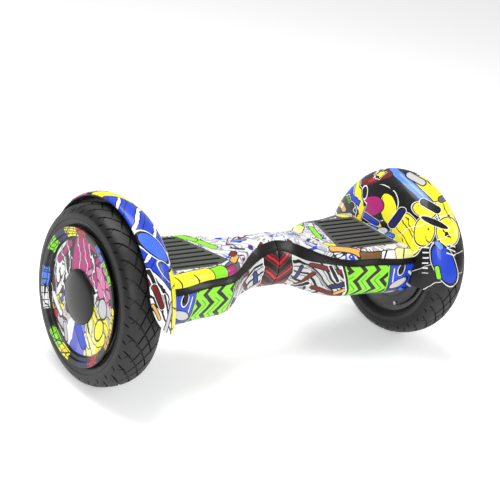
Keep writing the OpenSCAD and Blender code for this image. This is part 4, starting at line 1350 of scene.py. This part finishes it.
MADE["mat_rubber"] = mat_rubber()
for side in SIDES:
    bevelled_copy(side + "_mat", side + "_foot_mat_ribbed", 0.45, MADE["mat_rubber"], "mat_rubber")
bevelled_copy("power_button", "round_button", 0.6, MADE["gloss_black"], "gloss_black")
bevelled_copy("charge_socket", "plug_socket", 0.25, MADE["black_trim"], "black_trim")
bevelled_copy("charge_cap", "plug_cap", 0.4, MADE["black_rubber"], "black_rubber")
for side in SIDES:
    bevelled_copy(side + "_hub", side + "_cast_hub", 0.3, MADE["hub_black"], "hub_black")

# %% [markdown]
# ## Finishes on the parts that stay as they are
# Axles, screws, coils and boards keep the working model's mesh and only get a better material,
# found by the name of the material slot that the model gave them.

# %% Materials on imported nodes

covered = {n for o in bpy.data.objects for n in o.get("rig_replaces", [])}
for name, node in frame["nodes"].items():
    for i, old in enumerate(node.data.materials):
        label = old.name.split(".")[0]
        if name not in covered and label in MADE and old != MADE[label]:
            node.data.materials[i] = MADE[label]
        elif name not in covered:
            print("no finish for", name, old.name)
print(len(covered), "nodes are covered by new pieces")

# %% [markdown]
# ## Stage, light and camera
# The board stands on a plain pale floor that glows a little, so that it stays near white while the
# colours of the board keep their depth. Light comes from three large soft panels and a dim sky.

# %% Floor and sky

floor_finish, tree = begin("pale_floor")
shader = Wire.node(tree, "ShaderNodeBsdfPrincipled", {}, {
    "Base Color": (0.86, 0.86, 0.86, 1), "Roughness": 0.7, "Emission Color": (1, 1, 1, 1),
    "Emission Strength": 0.42})
Wire.node(tree, "ShaderNodeOutputMaterial", {}, {"Surface": shader})
floor = piece("floor", [(-9000, -9000, 0), (9000, -9000, 0), (9000, 9000, 0), (-9000, 9000, 0)],
              [(0, 1, 2, 3)], floor_finish)
world = bpy.data.worlds.new("studio")
world.use_nodes = True
world.node_tree.nodes["Background"].inputs[0].default_value = (1, 1, 1, 1)
world.node_tree.nodes["Background"].inputs[1].default_value = 0.42
bpy.context.scene.world = world
bpy.context.scene.view_settings.view_transform = "Standard"


def soft_light(name, place_mm, target_mm, size, watts):
    light = bpy.data.lights.new(name, "AREA")
    light.size, light.energy = size, watts
    lamp = bpy.data.objects.new(name, light)
    bpy.context.scene.collection.objects.link(lamp)
    here, there = Vector(place_mm) * MM, Vector(target_mm) * MM
    aim = (there - here).to_track_quat("-Z", "Y").to_matrix().to_4x4()
    lamp.matrix_world = Matrix.Translation(here) @ aim


soft_light("overhead", (-300, 500, 2200), (0, 0, 150), 1.4, 40)
soft_light("front_left", (-1500, -2200, 1300), (0, 0, 150), 1.0, 26)
soft_light("right", (1900, -900, 1300), (100, 0, 150), 0.8, 12)

camera = bpy.data.cameras.new("camera")
camera.lens, camera.sensor_width, camera.clip_end = 93.5, 36, 60
eye = bpy.data.objects.new("camera", camera)
bpy.context.scene.collection.objects.link(eye)
forward, right = Vector((0.6020, 0.7109, -0.3634)), Vector((0.7930, -0.5856, 0.1679))
forward.normalize()
right = (right - forward * right.dot(forward)).normalized()
up = right.cross(forward)
turn = Matrix((right, up, -forward)).transposed().to_4x4()
eye.matrix_world = Matrix.Translation((-1.182, -1.359, 0.862)) @ turn
bpy.context.scene.camera = eye
